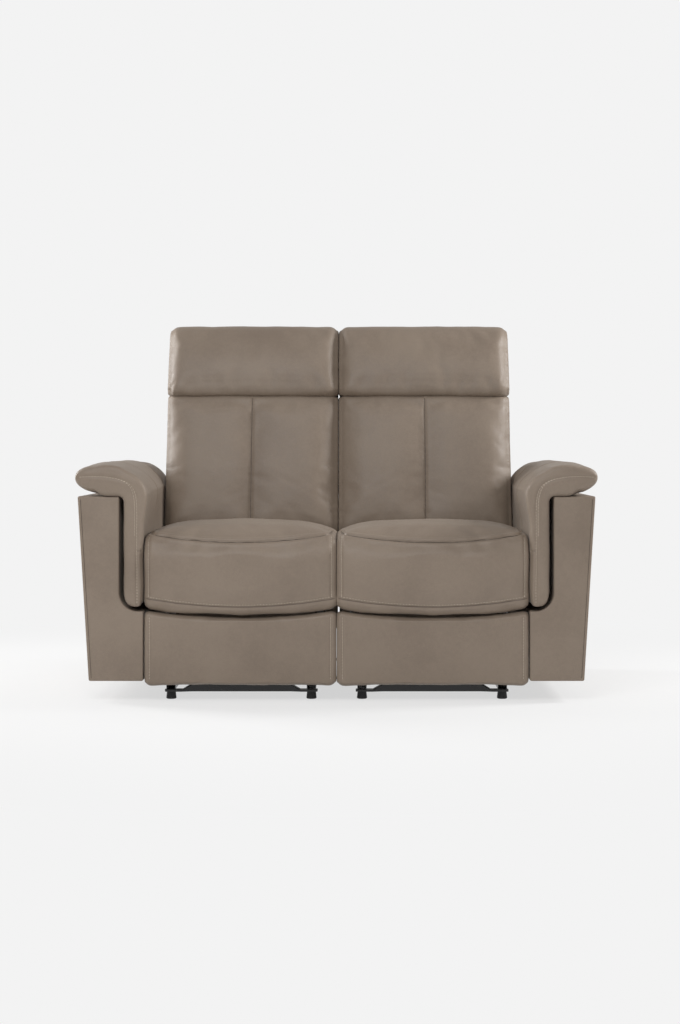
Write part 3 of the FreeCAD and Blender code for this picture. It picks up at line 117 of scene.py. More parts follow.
class Nodes:
    """The nodes of one material or of the sky."""

    def __init__(self, tree):
        self.tree = tree

    def node(self, kind, settings=(), **values):
        node = self.tree.nodes.new(kind)
        for name, value in dict(settings).items():
            setattr(node, name, value)
        for name, value in values.items():
            self.feed(node.inputs[name.replace("_", " ")], value)
        return node

    def feed(self, socket, value):
        if isinstance(value, Level):
            value = value.socket
        if isinstance(value, bpy.types.NodeSocket):
            self.tree.links.new(value, socket)
        else:
            socket.default_value = value

    def maths(self, operation, *values):
        node = self.node("ShaderNodeMath", {"operation": operation})
        for socket, value in zip(node.inputs, values):
            self.feed(socket, value)
        return Level(self, node.outputs[0])

    def blended(self, share, first, second, output):
        """Mixes two shaders into the tree's output."""
        blend = self.node("ShaderNodeMixShader", Fac=share)
        for socket, shader in zip(blend.inputs[1:3], (first, second)):
            self.feed(socket, shader.outputs[0])
        self.feed(self.tree.nodes[output].inputs["Surface"], blend.outputs[0])


class Finish(Nodes):
    """One material, built from nodes."""

    def __init__(self, name):
        self.material = bpy.data.materials.new(name)
        self.material.use_nodes = True
        super().__init__(self.material.node_tree)
        self.shader = self.tree.nodes["Principled BSDF"]
        self.place = self.node("ShaderNodeTexCoord").outputs["Object"]

    def stretched(self, scale):
        node = self.node("ShaderNodeMapping", Vector=self.place, Scale=scale)
        return node.outputs[0]

    def noise(self, scale, detail=3.0, place=None, roughness=0.5):
        node = self.node("ShaderNodeTexNoise", Vector=place or self.place, Scale=scale, Detail=detail,
                         Roughness=roughness)
        return Level(self, node.outputs["Fac"])

    def cells(self, scale, feature="F1"):
        node = self.node("ShaderNodeTexVoronoi", {"feature": feature}, Vector=self.place, Scale=scale)
        return Level(self, node.outputs["Distance"])

    def wave(self, scale, place=None, distortion=2.0):
        node = self.node("ShaderNodeTexWave", Vector=place or self.place, Scale=scale, Distortion=distortion,
                         Detail=2.0)
        return Level(self, node.outputs["Fac"])

    def between(self, value, start, end):
        node = self.node("ShaderNodeMapRange", {"interpolation_type": "SMOOTHSTEP"}, Value=value,
                         From_Min=start, From_Max=end)
        return Level(self, node.outputs["Result"])

    def mix(self, share, first, second):
        node = self.node("ShaderNodeMix", {"data_type": "RGBA"})
        self.feed(node.inputs["Factor"], share)
        for socket, colour in zip(node.inputs[6:8], (first, second)):
            self.feed(socket, colour)
        return node.outputs[2]

    def bump(self, height, strength, distance):
        node = self.node("ShaderNodeBump", Height=height, Strength=strength, Distance=distance)
        self.feed(self.shader.inputs["Normal"], node.outputs[0])

    def surface(self, **values):
        for name, value in values.items():
            self.feed(self.shader.inputs[name.replace("_", " ")], value)
        return self.material


def shade(red, green, blue):
    """A colour given in display values, as a shader's colour."""
    return tuple((c / 255 / 12.92 if c <= 10 else ((c / 255 + 0.055) / 1.055) ** 2.4)
                 for c in (red, green, blue)) + (1,)


# Finishes

def leather_finish(name, base, dark):
    leather = Finish(name)
    grain = leather.cells(620.0, "SMOOTH_F1")
    pores = leather.cells(1500.0)
    cloud = leather.noise(7.0, 4.0)
    fine = leather.noise(90.0, 5.0)
    creases = leather.noise(26.0, 6.0, roughness=0.62)
    tone = cloud * 0.6 + fine * 0.25 + grain * 0.3
    colour = leather.mix(leather.between(tone, 0.3, 0.75), dark, base)
    rough = leather.between(fine + cloud * 0.4, 0.3, 1.0) * 0.14 + 0.42
    leather.bump(grain * 0.5 + pores * 0.2 + creases * 0.9, 0.32, 0.0012)
    return leather.surface(Base_Color=colour, Roughness=rough, Specular_IOR_Level=0.42,
                           Sheen_Weight=0.08, Sheen_Roughness=0.4)


def thread_finish():
    thread = Finish("thread")
    twist = thread.wave(900.0, distortion=0.5)
    colour = thread.mix(twist, shade(196, 182, 164), shade(222, 210, 194))
    thread.bump(twist, 0.3, 0.0003)
    return thread.surface(Base_Color=colour, Roughness=0.7)


def black_steel_finish():
    coat = Finish("black_powder_coat")
    orange_peel = coat.noise(420.0, 3.0)
    dust = coat.between(coat.noise(18.0, 5.0), 0.52, 0.75)
    colour = coat.mix(dust * 0.25, shade(17, 17, 18), shade(36, 35, 34))
    coat.bump(orange_peel, 0.25, 0.0004)
    return coat.surface(Base_Color=colour, Roughness=0.24 + dust * 0.18)


def bright_steel_finish():
    zinc = Finish("zinc_plate")
    streaks = zinc.noise(60.0, 4.0, zinc.stretched((1, 14, 14)))
    spangle = zinc.cells(260.0)
    colour = zinc.mix(spangle, shade(150, 152, 155), shade(188, 190, 192))
    zinc.bump(streaks, 0.12, 0.0003)
    return zinc.surface(Base_Color=colour, Metallic=1.0, Roughness=streaks * 0.2 + 0.26)


def timber_finish(name, pale, deep, scale):
    timber = Finish(name)
    along = timber.stretched((7.0, 0.9, 7.0))
    rings = timber.wave(scale, along, 9.0)
    fibre = timber.noise(130.0, 5.0, timber.stretched((1, 0.07, 1)))
    colour = timber.mix(rings * 0.65 + fibre * 0.35, deep, pale)
    timber.bump(fibre * 0.7 + rings * 0.3, 0.3, 0.0006)
    return timber.surface(Base_Color=colour, Roughness=fibre * 0.2 + 0.62)


def webbing_finish():
    strap = Finish("woven_strap")
    across = strap.wave(320.0, strap.stretched((1, 0, 1)), 0.0)
    along = strap.wave(320.0, strap.stretched((0, 1, 1)), 0.0)
    weave = across * along
    colour = strap.mix(weave, shade(30, 30, 31), shade(66, 64, 62))
    strap.bump(weave, 0.6, 0.0008)
    return strap.surface(Base_Color=colour, Roughness=0.85)


def plastic_finish():
    plastic = Finish("black_plastic")
    texture = plastic.noise(700.0, 2.0)
    scuff = plastic.between(plastic.noise(45.0, 4.0), 0.55, 0.7)
    colour = plastic.mix(scuff * 0.3, shade(20, 20, 21), shade(44, 43, 42))
    plastic.bump(texture, 0.3, 0.0003)
    return plastic.surface(Base_Color=colour, Roughness=0.46 + scuff * 0.2)


LEATHER = leather_finish("taupe_leather", shade(139, 125, 111), shade(126, 112, 99))
# Darker copy of the leather for the thin strips in the seams: painted shade of the seam grooves
SEAM_SHADE_LEATHER = leather_finish("seam_painted_shade", shade(86, 74, 63), shade(72, 61, 52))
THREAD = thread_finish()
BLACK_STEEL = black_steel_finish()
BRIGHT_STEEL = bright_steel_finish()
SOFTWOOD = timber_finish("softwood", shade(205, 172, 124), shade(172, 132, 84), 34.0)
PLYWOOD = timber_finish("plywood", shade(196, 164, 120), shade(160, 124, 84), 22.0)
WEBBING = webbing_finish()
BLACK_PLASTIC = plastic_finish()

CAD_FINISHES = {
    "leather": LEATHER,
    "timber": SOFTWOOD,
    "plywood": PLYWOOD,
    "steel_black": BLACK_STEEL,
    "steel_bright": BRIGHT_STEEL,
    "webbing": WEBBING,
    "cap_plastic": BLACK_PLASTIC,
}


def finish_cad_nodes():
    for entry in frame["record"]["subparts"]:
        data = NODES[entry["node"]].data
        data.materials.clear()
        data.materials.append(CAD_FINISHES[entry["material_slot"]])


# Making pieces

def new_piece(name, mesh, body, material):
    piece = bpy.data.objects.new(name, mesh)
    bpy.context.scene.collection.objects.link(piece)
    mesh.materials.clear()
    mesh.materials.append(material)
    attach(piece, body)
    return piece


def mesh_from(edit, name, smooth=True):
    mesh = bpy.data.meshes.new(name)
    edit.to_mesh(mesh)
    edit.free()
    if smooth:
        mesh.shade_smooth()
    return mesh


def points_of(mesh, what="co"):
    flat = np.empty(len(mesh.vertices) * 3, np.float32)
    mesh.vertices.foreach_get(what, flat)
    return flat.reshape(-1, 3)


def set_points(mesh, points):
    mesh.vertices.foreach_set("co", np.ascontiguousarray(points, np.float32).ravel())
    mesh.update()


def evaluated_mesh(piece):
    graph = bpy.context.evaluated_depsgraph_get()
    return bpy.data.meshes.new_from_object(piece.evaluated_get(graph), depsgraph=graph)


def remeshed(node, voxel, rounds):
    """An even mesh of a CAD soft piece, its edges rounded by smoothing."""
    edit = bmesh.new()
    edit.from_mesh(NODES[node].data)
    bmesh.ops.remove_doubles(edit, verts=edit.verts, dist=1e-5)
    mesh = mesh_from(edit, "foam")
    blank = bpy.data.objects.new("foam", mesh)
    bpy.context.scene.collection.objects.link(blank)
    remesh = blank.modifiers.new("even", "REMESH")
    remesh.mode = "VOXEL"
    remesh.voxel_size = voxel
    smooth = blank.modifiers.new("rounded", "SMOOTH")
    smooth.factor = 0.5
    smooth.iterations = rounds
    bpy.context.view_layer.update()
    even = evaluated_mesh(blank)
    bpy.data.objects.remove(blank)
    return even


def plumped(mesh, held, pressure, slack, cap):
    """Swells a soft mesh as cloth under pressure; held is 1 where it is fixed."""
    before = points_of(mesh).copy()
    piece = bpy.data.objects.new("swelling", mesh)
    bpy.context.scene.collection.objects.link(piece)
    group = piece.vertex_groups.new(name="held")
    for level in np.unique(np.round(held, 1)):
        if level > 0:
            chosen = np.nonzero(np.round(held, 1) == level)[0]
            group.add([int(i) for i in chosen], float(level), "REPLACE")
    cloth = piece.modifiers.new("cloth", "CLOTH")
    settings = cloth.settings
    settings.quality = 6
    settings.mass = 0.4
    settings.tension_stiffness = 18
    settings.compression_stiffness = 12
    settings.bending_stiffness = 1.2
    settings.use_pressure = True
    settings.uniform_pressure_force = pressure
    settings.effector_weights.gravity = 0
    settings.shrink_min = -slack
    settings.vertex_group_mass = "held"
    cloth.collision_settings.use_self_collision = False
    cloth.point_cache.frame_start = 1
    cloth.point_cache.frame_end = 20
    scene = bpy.context.scene
    for number in range(1, 21):
        scene.frame_set(number)
    swollen = evaluated_mesh(piece)
    after = points_of(swollen)
    move = after - before
    length = np.maximum(np.linalg.norm(move, axis=1, keepdims=True), 1e-9)
    move *= cap * np.tanh(length / cap) / length
    move = evened(mesh, move, 6)
    bpy.data.objects.remove(piece)
    bpy.data.meshes.remove(swollen)
    set_points(mesh, before + move)
    scene.frame_set(1)


def evened(mesh, moves, rounds):
    """Averages moves with those of neighbouring points, so folds stay soft."""
    ends = np.empty(len(mesh.edges) * 2, np.int32)
    mesh.edges.foreach_get("vertices", ends)
    first, second = ends[0::2], ends[1::2]
    count = np.zeros(len(moves), np.float32)
    np.add.at(count, first, 1)
    np.add.at(count, second, 1)
    for _ in range(rounds):
        total = np.zeros_like(moves)
        np.add.at(total, first, moves[second])
        np.add.at(total, second, moves[first])
        moves = moves * 0.4 + total / np.maximum(count, 1)[:, None] * 0.6
    return moves


def divided(mesh):
    """One subdivision, applied."""
    piece = bpy.data.objects.new("dividing", mesh)
    bpy.context.scene.collection.objects.link(piece)
    divide = piece.modifiers.new("finer", "SUBSURF")
    divide.levels = 1
    divide.render_levels = 1
    bpy.context.view_layer.update()
    fine = evaluated_mesh(piece)
    bpy.data.objects.remove(piece)
    return fine


def filled(mesh, lowest, highest, axes=(0, 1, 2), side_full=0.0, lower=0.0, upper=0.0):
    """Stretches a smoothed form back to the limits it lost, or a little past them."""
    points = points_of(mesh)
    past = ((side_full, side_full), (0, 0), (lower, upper))
    for axis in axes:
        start, end = points[:, axis].min(), points[:, axis].max()
        share = (points[:, axis] - start) / (end - start)
        first = lowest[axis] - past[axis][0]
        points[:, axis] = first + share * (highest[axis] + past[axis][1] - first)
    set_points(mesh, points)


def mirrored(mesh, name):
    """The same form on the other side of the sofa."""
    edit = bmesh.new()
    edit.from_mesh(mesh)
    bmesh.ops.scale(edit, vec=(-1, 1, 1), verts=edit.verts)
    bmesh.ops.reverse_faces(edit, faces=edit.faces)
    return mesh_from(edit, name)


def smoothstep(values, start, end):
    share = np.clip((values - start) / (end - start), 0, 1)
    return share * share * (3 - 2 * share)


def distance_to_path(points, path):
    """Distance of many points from a polyline, and how far along it they lie."""
    best = np.full(len(points), 9.0, np.float32)
    along = np.zeros(len(points), np.float32)
    run = 0.0
    for start, end in zip(path[:-1], path[1:]):
        line = end - start
        length = float(np.linalg.norm(line))
        share = np.clip((points - start) @ line / max(length * length, 1e-12), 0, 1)
        gap = np.linalg.norm(points - start - share[:, None] * line, axis=1)
        nearer = gap < best
        best = np.where(nearer, gap, best)
        along = np.where(nearer, run + share * length, along)
        run += length
    return best, along


def kept_clear(mesh, centre, hand, limit):
    """Fills a cover's flat sides out to the plane between the two seats, and less toward the arm."""
    points = points_of(mesh)
    across = points[:, 0] - centre
    limit = np.where(across * hand > 0, limit - ARM_CLEAR, limit)
    short = limit - np.abs(across)
    sideways = smoothstep(np.abs(points_of(mesh, "normal")[:, 0]), *SIDE_NORMALS)
    sideways *= 1 - smoothstep(short, *SIDE_SHORTFALL)
    points[:, 0] += np.sign(across) * short * sideways
    points[:, 0] = np.clip(points[:, 0], centre - limit, centre + limit)
    set_points(mesh, points)


def near(points, path, reach):
    lower = path.min(axis=0) - reach
    upper = path.max(axis=0) + reach
    return np.nonzero(((points > lower) & (points < upper)).all(axis=1))[0]


def sew(mesh, path, depth, width, swell=0.0):
    """Draws the leather in along a seam, with a soft swelling beside it."""
    points = points_of(mesh)
    normals = points_of(mesh, "normal")
    reach = width * 5
    chosen = near(points, path, reach)
    gap, _ = distance_to_path(points[chosen], path)
    groove = np.exp(-((gap / width) ** 2)) * depth
    ridge = np.exp(-(((gap - width * 2.6) / (width * 1.4)) ** 2)) * swell
    points[chosen] += normals[chosen] * (ridge - groove)[:, None]
    set_points(mesh, points)


def pucker(mesh, path, depth, spacing, reach, phase=0.0):
    """Short gathers square to a seam, fading away from it."""
    points = points_of(mesh)
    normals = points_of(mesh, "normal")
    chosen = near(points, path, reach * 1.5)
    gap, along = distance_to_path(points[chosen], path)
    wander = np.sin(along * 61 + phase) * 0.9 + np.sin(along * 23 + phase * 2) * 1.3
    waves = np.sin(along * 2 * math.pi / spacing + wander)
    fade = np.exp(-((gap / reach) ** 2)) * (0.55 + 0.45 * np.sin(along * 37 + phase))
    points[chosen] += normals[chosen] * (waves * fade * depth)[:, None]
    set_points(mesh, points)


def crease(mesh, start, end, depth, width):
    """One soft fold from start to end, deepest near its start."""
    points = points_of(mesh)
    normals = points_of(mesh, "normal")
    path = np.array([start, end], np.float32)
    chosen = near(points, path, width * 4)
    gap, along = distance_to_path(points[chosen], path)
    fade = 1 - smoothstep(along, 0, np.linalg.norm(path[1] - path[0]))
    valley = np.exp(-((gap / width) ** 2)) - 0.6 * np.exp(-(((gap - width * 1.8) / width) ** 2))
    points[chosen] -= normals[chosen] * (valley * fade * depth)[:, None]
    set_points(mesh, points)


def ripple(mesh, size, depth, seed):
    """Gentle unevenness of stuffed leather."""
    points = points_of(mesh)
    normals = points_of(mesh, "normal")
    maker = np.random.default_rng(seed)
    height = np.zeros(len(points), np.float32)
    waves, finer, fainter, turn = 4, 0.62, 0.6, 6.28
    for octave in range(5):
        for _ in range(waves):
            heading = maker.normal(size=3)
            heading *= 2 * math.pi / (size * finer ** octave) / np.linalg.norm(heading)
            wave = np.sin(points @ heading.astype(np.float32) + maker.uniform(0, turn))
            height += wave * fainter ** octave
    points += normals * (height * depth / waves)[:, None]
    set_points(mesh, points)


def tree_of(mesh):
    edit = bmesh.new()
    edit.from_mesh(mesh)
    tree = BVHTree.FromBMesh(edit)
    edit.free()
    return tree


def laid(tree, guides, towards):
    """Points of the surface met by rays from the guides, with their normals."""
    spots = []
    for guide in guides:
        hit = tree.ray_cast(Vector(guide), Vector(towards))
        if hit[0] is not None:
            spots.append((hit[0].copy(), hit[1].copy()))
    return spots


def beside(row, move):
    """The same row a little to one side."""
    return [(spot + Vector(move), normal) for spot, normal in row]


def as_path(spots):
    return np.array([spot for spot, _ in spots], np.float32)


def along_row(spots):
    """A way to find the place and the outward direction at a distance along a row."""
    places = [spot for spot, _ in spots]
    normals = [normal for _, normal in spots]
    marks = [0.0]
    for before, after in zip(places[:-1], places[1:]):
        marks.append(marks[-1] + (after - before).length)

    def at(distance):
        index = min(max(int(np.searchsorted(marks, distance)) - 1, 0), len(places) - 2)
        share = (distance - marks[index]) / max(marks[index + 1] - marks[index], 1e-9)
        spot = places[index].lerp(places[index + 1], share)
        return spot, normals[index].lerp(normals[index + 1], share).normalized()

    return at, marks[-1]


def stitches(edit, spots):
    """Adds a row of thread stitches lying on the leather."""
    length, gap, thick = STITCH
    at, whole = along_row(spots)
    start = gap
    while start + length < whole:
        first, _ = at(start)
        last, _ = at(start + length)
        centre, up = at(start + length / 2)
        forward = (last - first).normalized()
        side = up.cross(forward).normalized()
        up = forward.cross(side)
        turn = Matrix((forward, side, up)).transposed().to_4x4()
        size = Matrix.Diagonal((length / 2, thick * 1.5, thick, 1))
        spot = Matrix.Translation(centre + up * thick * 0.45)
        bmesh.ops.create_icosphere(edit, subdivisions=1, radius=1, matrix=spot @ turn @ size)
        start += length + gap


def thread_piece(name, body, rows):
    edit = bmesh.new()
    for spots in rows:
        stitches(edit, spots)
    return new_piece(name, mesh_from(edit, name), body, THREAD)


def seam_shade_line(edit, spots, radius, sink):
    """A thin strip lying in a seam: shaped as the turned leather there, coloured dark as painted shade of
    the seam's groove.
    """
    previous = None
    at, whole = along_row(spots)
    count = max(int(whole / SHADE_LINE_STEP), 2)
    for number in range(count + 1):
        distance = whole * number / count
        spot, up = at(distance)
        ahead, _ = at(min(whole, distance + SHADE_LINE_REACH))
        behind, _ = at(max(0, distance - SHADE_LINE_REACH))
        forward = (ahead - behind).normalized()
        side = up.cross(forward).normalized()
        turn = Matrix((side, forward.cross(side), forward)).transposed().to_4x4()
        place = Matrix.Translation(spot - up * sink) @ turn
        ring = bmesh.ops.create_circle(edit, cap_ends=False, radius=radius, segments=6, matrix=place)
        ring = ring["verts"]
        edges = list({edge for vert in ring for edge in vert.link_edges
                      if edge.other_vert(vert) in ring})
        if previous:
            bmesh.ops.bridge_loops(edit, edges=previous + edges)
        previous = edges
        if number in (0, count):
            bmesh.ops.contextual_create(edit, geom=edges)


# Seam strips in the dark leather: painted shade along the seams
def seam_piece(name, body, rows, radius=0.0011, sink=0.0004):
    edit = bmesh.new()
    for spots in rows:
        seam_shade_line(edit, spots, radius, sink)
    bmesh.ops.recalc_face_normals(edit, faces=edit.faces)
    return new_piece(name, mesh_from(edit, name), body, SEAM_SHADE_LEATHER)


def steps(start, end, count):
    return [start + (end - start) * i / (count - 1) for i in range(count)]


def settled(tree, row):
    """A row moved onto the finished surface, its small steps evened out."""
    spots = []
    for spot, _ in row:
        place, normal, _, _ = tree.find_nearest(spot)
        spots.append((place.copy(), normal.copy()))
    for _ in range(4):
        middles = [((a[0] + b[0] * 2 + c[0]) / 4, (a[1] + b[1] * 2 + c[1]).normalized())
                   for a, b, c in zip(spots[:-2], spots[1:-1], spots[2:])]
        spots = [spots[0]] + middles + [spots[-1]]
    return [(tree.find_nearest(spot)[0].copy(), normal) for spot, normal in spots]


finish_cad_nodes()


# Seats: heights of the seams above the floor, those of the hem above the lip

WELT_SIDE, WELT_MIDDLE = 0.450, 0.428
EDGE_SEAM_TOP, EDGE_SEAM_LIFT = 0.441, 0.05
HEM_SIDE, HEM_MIDDLE = 0.046, 0.024
HEM_THREAD_SIDE, HEM_THREAD_MIDDLE = 0.053, 0.030
EDGE_SEAM_INSET = 0.011
SEAT_KNEE = 0.40
LIP_BULGE = 0.006
LIP_HANG = 0.006
CREST_ROOM = 0.002
SHOULDER_START, SHOULDER_FALL = 0.7, 0.07
SEAT_CREASES = (-0.7, -0.2, 0.35, 0.8)
CREASE_SHARE, CREASE_RUN = 0.93, 0.32


def seat_form(node):
    """One plumped seat cushion, without its seams."""
    centre = middle(node).x
    lowest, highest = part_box(node)
    half = (highest.x - lowest.x) / 2
    mesh = remeshed(node, voxel=0.007, rounds=14)
    filled(mesh, lowest, highest, side_full=SIDE_FULL)
    points = points_of(mesh)
    underside, lip_thick, rear_strip, lip_strip, side_strip = 0.105, 0.07, 0.02, 0.012, 0.003
    held = np.zeros(len(points), np.float32)
    held[(points[:, 2] < lowest.z + underside) & (points[:, 1] > lowest.y + lip_thick)] = 1
    held[points[:, 1] > highest.y - rear_strip] = 1
    held[points[:, 2] < lowest.z + lip_strip] = 1
    held[np.abs(points[:, 0] - centre) > half - side_strip] = 0.8
    plumped(mesh, held, pressure=2.0, slack=0.018, cap=0.016)
    fine = divided(mesh)
    points = points_of(fine)
    across = np.abs(points[:, 0] - centre) / half
    upper = smoothstep(points[:, 2], highest.z - 0.16, highest.z - 0.03)
    points[:, 2] -= upper * np.maximum(across - SHOULDER_START, 0) ** 2 * SHOULDER_FALL
    tall = points[:, 2].max() - SEAT_KNEE
    rising = np.maximum(points[:, 2] - SEAT_KNEE, 0)
    points[:, 2] -= rising * (1 - (highest.z - CREST_ROOM - SEAT_KNEE) / tall)
    hanging = 1 - smoothstep(points[:, 2], lowest.z + 0.01, lowest.z + 0.09)
    points[:, 2] -= hanging * smoothstep(across, 0.25, 0.9) * LIP_HANG
    limit = half + SIDE_FULL
    points[:, 0] = np.clip(points[:, 0], centre - limit, centre + limit)
    points[:, 1] = np.clip(points[:, 1], lowest.y - LIP_BULGE, highest.y)
    set_points(fine, points)
    return fine


def seat_cushion(name, hand, fine):
    """One seat's cover: welt, hem, edge seams and a few creases by its outer corner."""
    node = f"seat_cushion_{name}"
    centre = middle(node).x
    lowest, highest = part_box(node)
    ripple(fine, size=0.21, depth=0.0011, seed=11 + hand)
    kept_clear(fine, centre, hand, SEAT_HALF + SIDE_FULL)
    tree = tree_of(fine)
    front = lowest.y - RAY_START
    half = SEAT_HALF - 0.003

    def across_front(side_height, centre_height, reach=1.0, count=80):
        guides = []
        for share in steps(-reach, reach, count):
            height = centre_height + (side_height - centre_height) * share * share
            guides.append((centre + share * half, front, height))
        return laid(tree, guides, REARWARD)

    lip = lowest.z
    welt = across_front(WELT_SIDE, WELT_MIDDLE)
    hem_thread = across_front(lip + HEM_THREAD_SIDE, lip + HEM_THREAD_MIDDLE, 0.985)
    hem = across_front(lip + HEM_SIDE, lip + HEM_MIDDLE)
    heights = steps(EDGE_SEAM_TOP, lip + EDGE_SEAM_LIFT, 50)
    edges = []
    for edge in (-1, 1):
        across = centre + edge * (SEAT_HALF - EDGE_SEAM_INSET)
        edges.append(laid(tree, [(across, front, height) for height in heights], REARWARD))
    sew(fine, as_path(welt), depth=0.0034, width=0.0034, swell=0.0016)
    sew(fine, as_path(hem), depth=0.0013, width=0.0034, swell=0.0008)
    for spots in edges:
        sew(fine, as_path(spots), depth=0.0011, width=0.0034, swell=0.0006)
        pucker(fine, as_path(spots), depth=0.0003, spacing=0.016, reach=0.012, phase=hand)
    for number, tilt in enumerate(SEAT_CREASES):
        side = -hand * SEAT_HALF * CREASE_SHARE
        start = (centre + side, lowest.y, 0.425 - 0.008 * number)
        end = (centre + side - side * CREASE_RUN, lowest.y, 0.42 + 0.02 * tilt)
        crease(fine, start, end, depth=0.0012, width=0.006)
    piece = new_piece(f"seat_cover_{name}", fine, f"seat_{name}", LEATHER)
    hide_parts(node)
    tree = tree_of(fine)
    rows = [settled(tree, row) for row in (hem_thread, *edges)]
    thread_piece(f"seat_thread_{name}", f"seat_{name}", rows)
    seam_piece(f"seat_seam_{name}", f"seat_{name}", [settled(tree, row) for row in (welt, hem)])


FOOT_SEAM_INSET = 0.012
FOOT_SEAM_END = 0.02


def footrest_form(node):
    """One plumped footrest pad."""
    lowest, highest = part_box(node)
    mesh = remeshed(node, voxel=0.006, rounds=5)
    filled(mesh, lowest, highest, (0, 2), side_full=FOOT_FULL)
    points = points_of(mesh)
    held = np.zeros(len(points), np.float32)
    rear_strip = 0.008
    held[points[:, 1] > highest.y - rear_strip] = 1
    plumped(mesh, held, pressure=1.0, slack=0.01, cap=0.005)
    fine = divided(mesh)
    points = points_of(fine)
    points[:, 0] = np.clip(points[:, 0], lowest.x - FOOT_FULL, highest.x + FOOT_FULL)
    points[:, 1] = np.clip(points[:, 1], lowest.y, highest.y)
    points[:, 2] = np.clip(points[:, 2], lowest.z, highest.z)
    set_points(fine, points)
    return fine


def footrest_pad(name, hand, fine):
    """One footrest's cover, with a seam by each upright edge."""
    node = f"footrest_pad_{name}"
    centre = middle(node).x
    lowest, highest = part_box(node)
    ripple(fine, size=0.23, depth=0.0008, seed=31 + hand)
    half = (highest.x - lowest.x) / 2
    kept_clear(fine, centre, hand, half + FOOT_FULL)
    tree = tree_of(fine)
    front = lowest.y - RAY_START
    heights = steps(highest.z - FOOT_SEAM_INSET, lowest.z + FOOT_SEAM_END, 40)
    edges = []
    for edge in (-1, 1):
        across = centre + edge * (half - FOOT_SEAM_INSET)
        edges.append(laid(tree, [(across, front, height) for height in heights], REARWARD))
    for spots in edges:
        sew(fine, as_path(spots), depth=0.0011, width=0.0032, swell=0.0005)
        pucker(fine, as_path(spots), depth=0.0002, spacing=0.017, reach=0.01, phase=hand)
    piece = new_piece(f"footrest_cover_{name}", fine, f"footrest_{name}", LEATHER)
    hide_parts(node)
    tree = tree_of(fine)
    thread_piece(f"footrest_thread_{name}", f"footrest_{name}", [settled(tree, row) for row in edges])


# Backs

HEAD_CORNER = 0.026
SIDE_CORNER = 0.036
SIDE_DEPTH = 0.09
CHANNEL_REACH = 0.045
BESIDE_CHANNEL = 0.12
LUMBAR_RISE = 0.006
HEAD_DROP = 0.002
HEAD_CREASES = {"right": (0.45, 0.58, 0.70, 0.86), "left": (-0.88, -0.97, 0.9)}
LUMBAR_CORNER = 0.235
LUMBAR_EDGE = 0.246


def corner_drop(across, half, radius):
    """How far a round corner falls back, at distances across from the middle."""
    inside = np.clip(across - (half - radius), 0, radius)
    return radius - np.sqrt(np.maximum(radius * radius - inside * inside, 0))


def rounded_sides(mesh, centre, half, front):
    """Rounds the front of a back cushion into its sides."""
    points = points_of(mesh)
    drop = corner_drop(np.abs(points[:, 0] - centre), half, SIDE_CORNER)
    behind = points[:, 1] - front(points)
    points[:, 1] += drop * (1 - smoothstep(behind, 0, SIDE_DEPTH))
    set_points(mesh, points)


def filled_channel(mesh, centre):
    """Fills the form's deep middle channel, so that only a seam's dimple is left."""
    tree = tree_of(mesh)
    points = points_of(mesh)
    normals = points_of(mesh, "normal")
    chosen = np.nonzero((np.abs(points[:, 0] - centre) < CHANNEL_REACH) & (normals[:, 1] < -0.3))[0]
    for index in chosen:
        height = float(points[index, 2])
        faces = []
        for side in (-CHANNEL_REACH, CHANNEL_REACH):
            hit = tree.ray_cast(Vector((centre + side, -1, height)), Vector(REARWARD))
            if hit[0] is not None:
                faces.append(hit[0].y)
        if len(faces) == 2:
            points[index, 1] = min(points[index, 1], sum(faces) / 2)
    set_points(mesh, points)


def back_leans(node):
    """The front face of a back cushion, as its place along Y at a height."""
    lowest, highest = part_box(node)
    tree = tree_of(NODES[node].data)
    across = middle(node).x + BESIDE_CHANNEL
    heights = np.array(steps(lowest.z + 0.01, highest.z - 0.01, 24))
    faces = []
    for height in heights:
        hit = tree.ray_cast(Vector((across, -1, height)), Vector(REARWARD))
        faces.append(hit[0].y if hit[0] is not None else lowest.y)
    return lambda points: np.interp(points[:, 2], heights, faces)


def back_form(node, channel):
    """One plumped back cushion; only the lumbar cushion has a channel."""
    centre = middle(node).x
    lowest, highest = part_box(node)
    half = (highest.x - lowest.x) / 2
    mesh = remeshed(node, voxel=0.0065, rounds=5)
    lower, upper = (0, LUMBAR_RISE) if channel else (HEAD_DROP, 0)
    filled(mesh, lowest, highest, (0, 2), SIDE_FULL, lower, upper)
    if channel:
        filled_channel(mesh, centre)
    else:
        points = points_of(mesh)
        drop = corner_drop(np.abs(points[:, 0] - centre), half, HEAD_CORNER)
        points[:, 2] -= drop * smoothstep(points[:, 2], highest.z - 0.08, highest.z - 0.01)
        set_points(mesh, points)
    face = back_leans(node)
    rounded_sides(mesh, centre, half, face)
    points = points_of(mesh)
    behind = points[:, 1] - face(points)
    rear, end_strip, side_strip, seam_half, seam_deep = 0.085, 0.012, 0.002, 0.004, 0.05
    ends = (points[:, 2] < lowest.z + end_strip) | (points[:, 2] > highest.z - end_strip)
    held = np.zeros(len(points), np.float32)
    held[behind > rear] = 1
    held[ends] = 0.9 if channel else 0.5
    held[np.abs(points[:, 0] - centre) > half - side_strip] = 0.6
    if channel:
        held[(np.abs(points[:, 0] - centre) < seam_half) & (behind < seam_deep)] = 0.9
    plumped(mesh, held, pressure=1.7, slack=0.02, cap=0.016)
    fine = divided(mesh)
    points = points_of(fine)
    limit = half + SIDE_FULL
    points[:, 0] = np.clip(points[:, 0], centre - limit, centre + limit)
    points[:, 2] = np.clip(points[:, 2], lowest.z - lower, highest.z + upper)
    points[:, 1] = np.minimum(points[:, 1], highest.y)
    set_points(fine, points)
    return fine


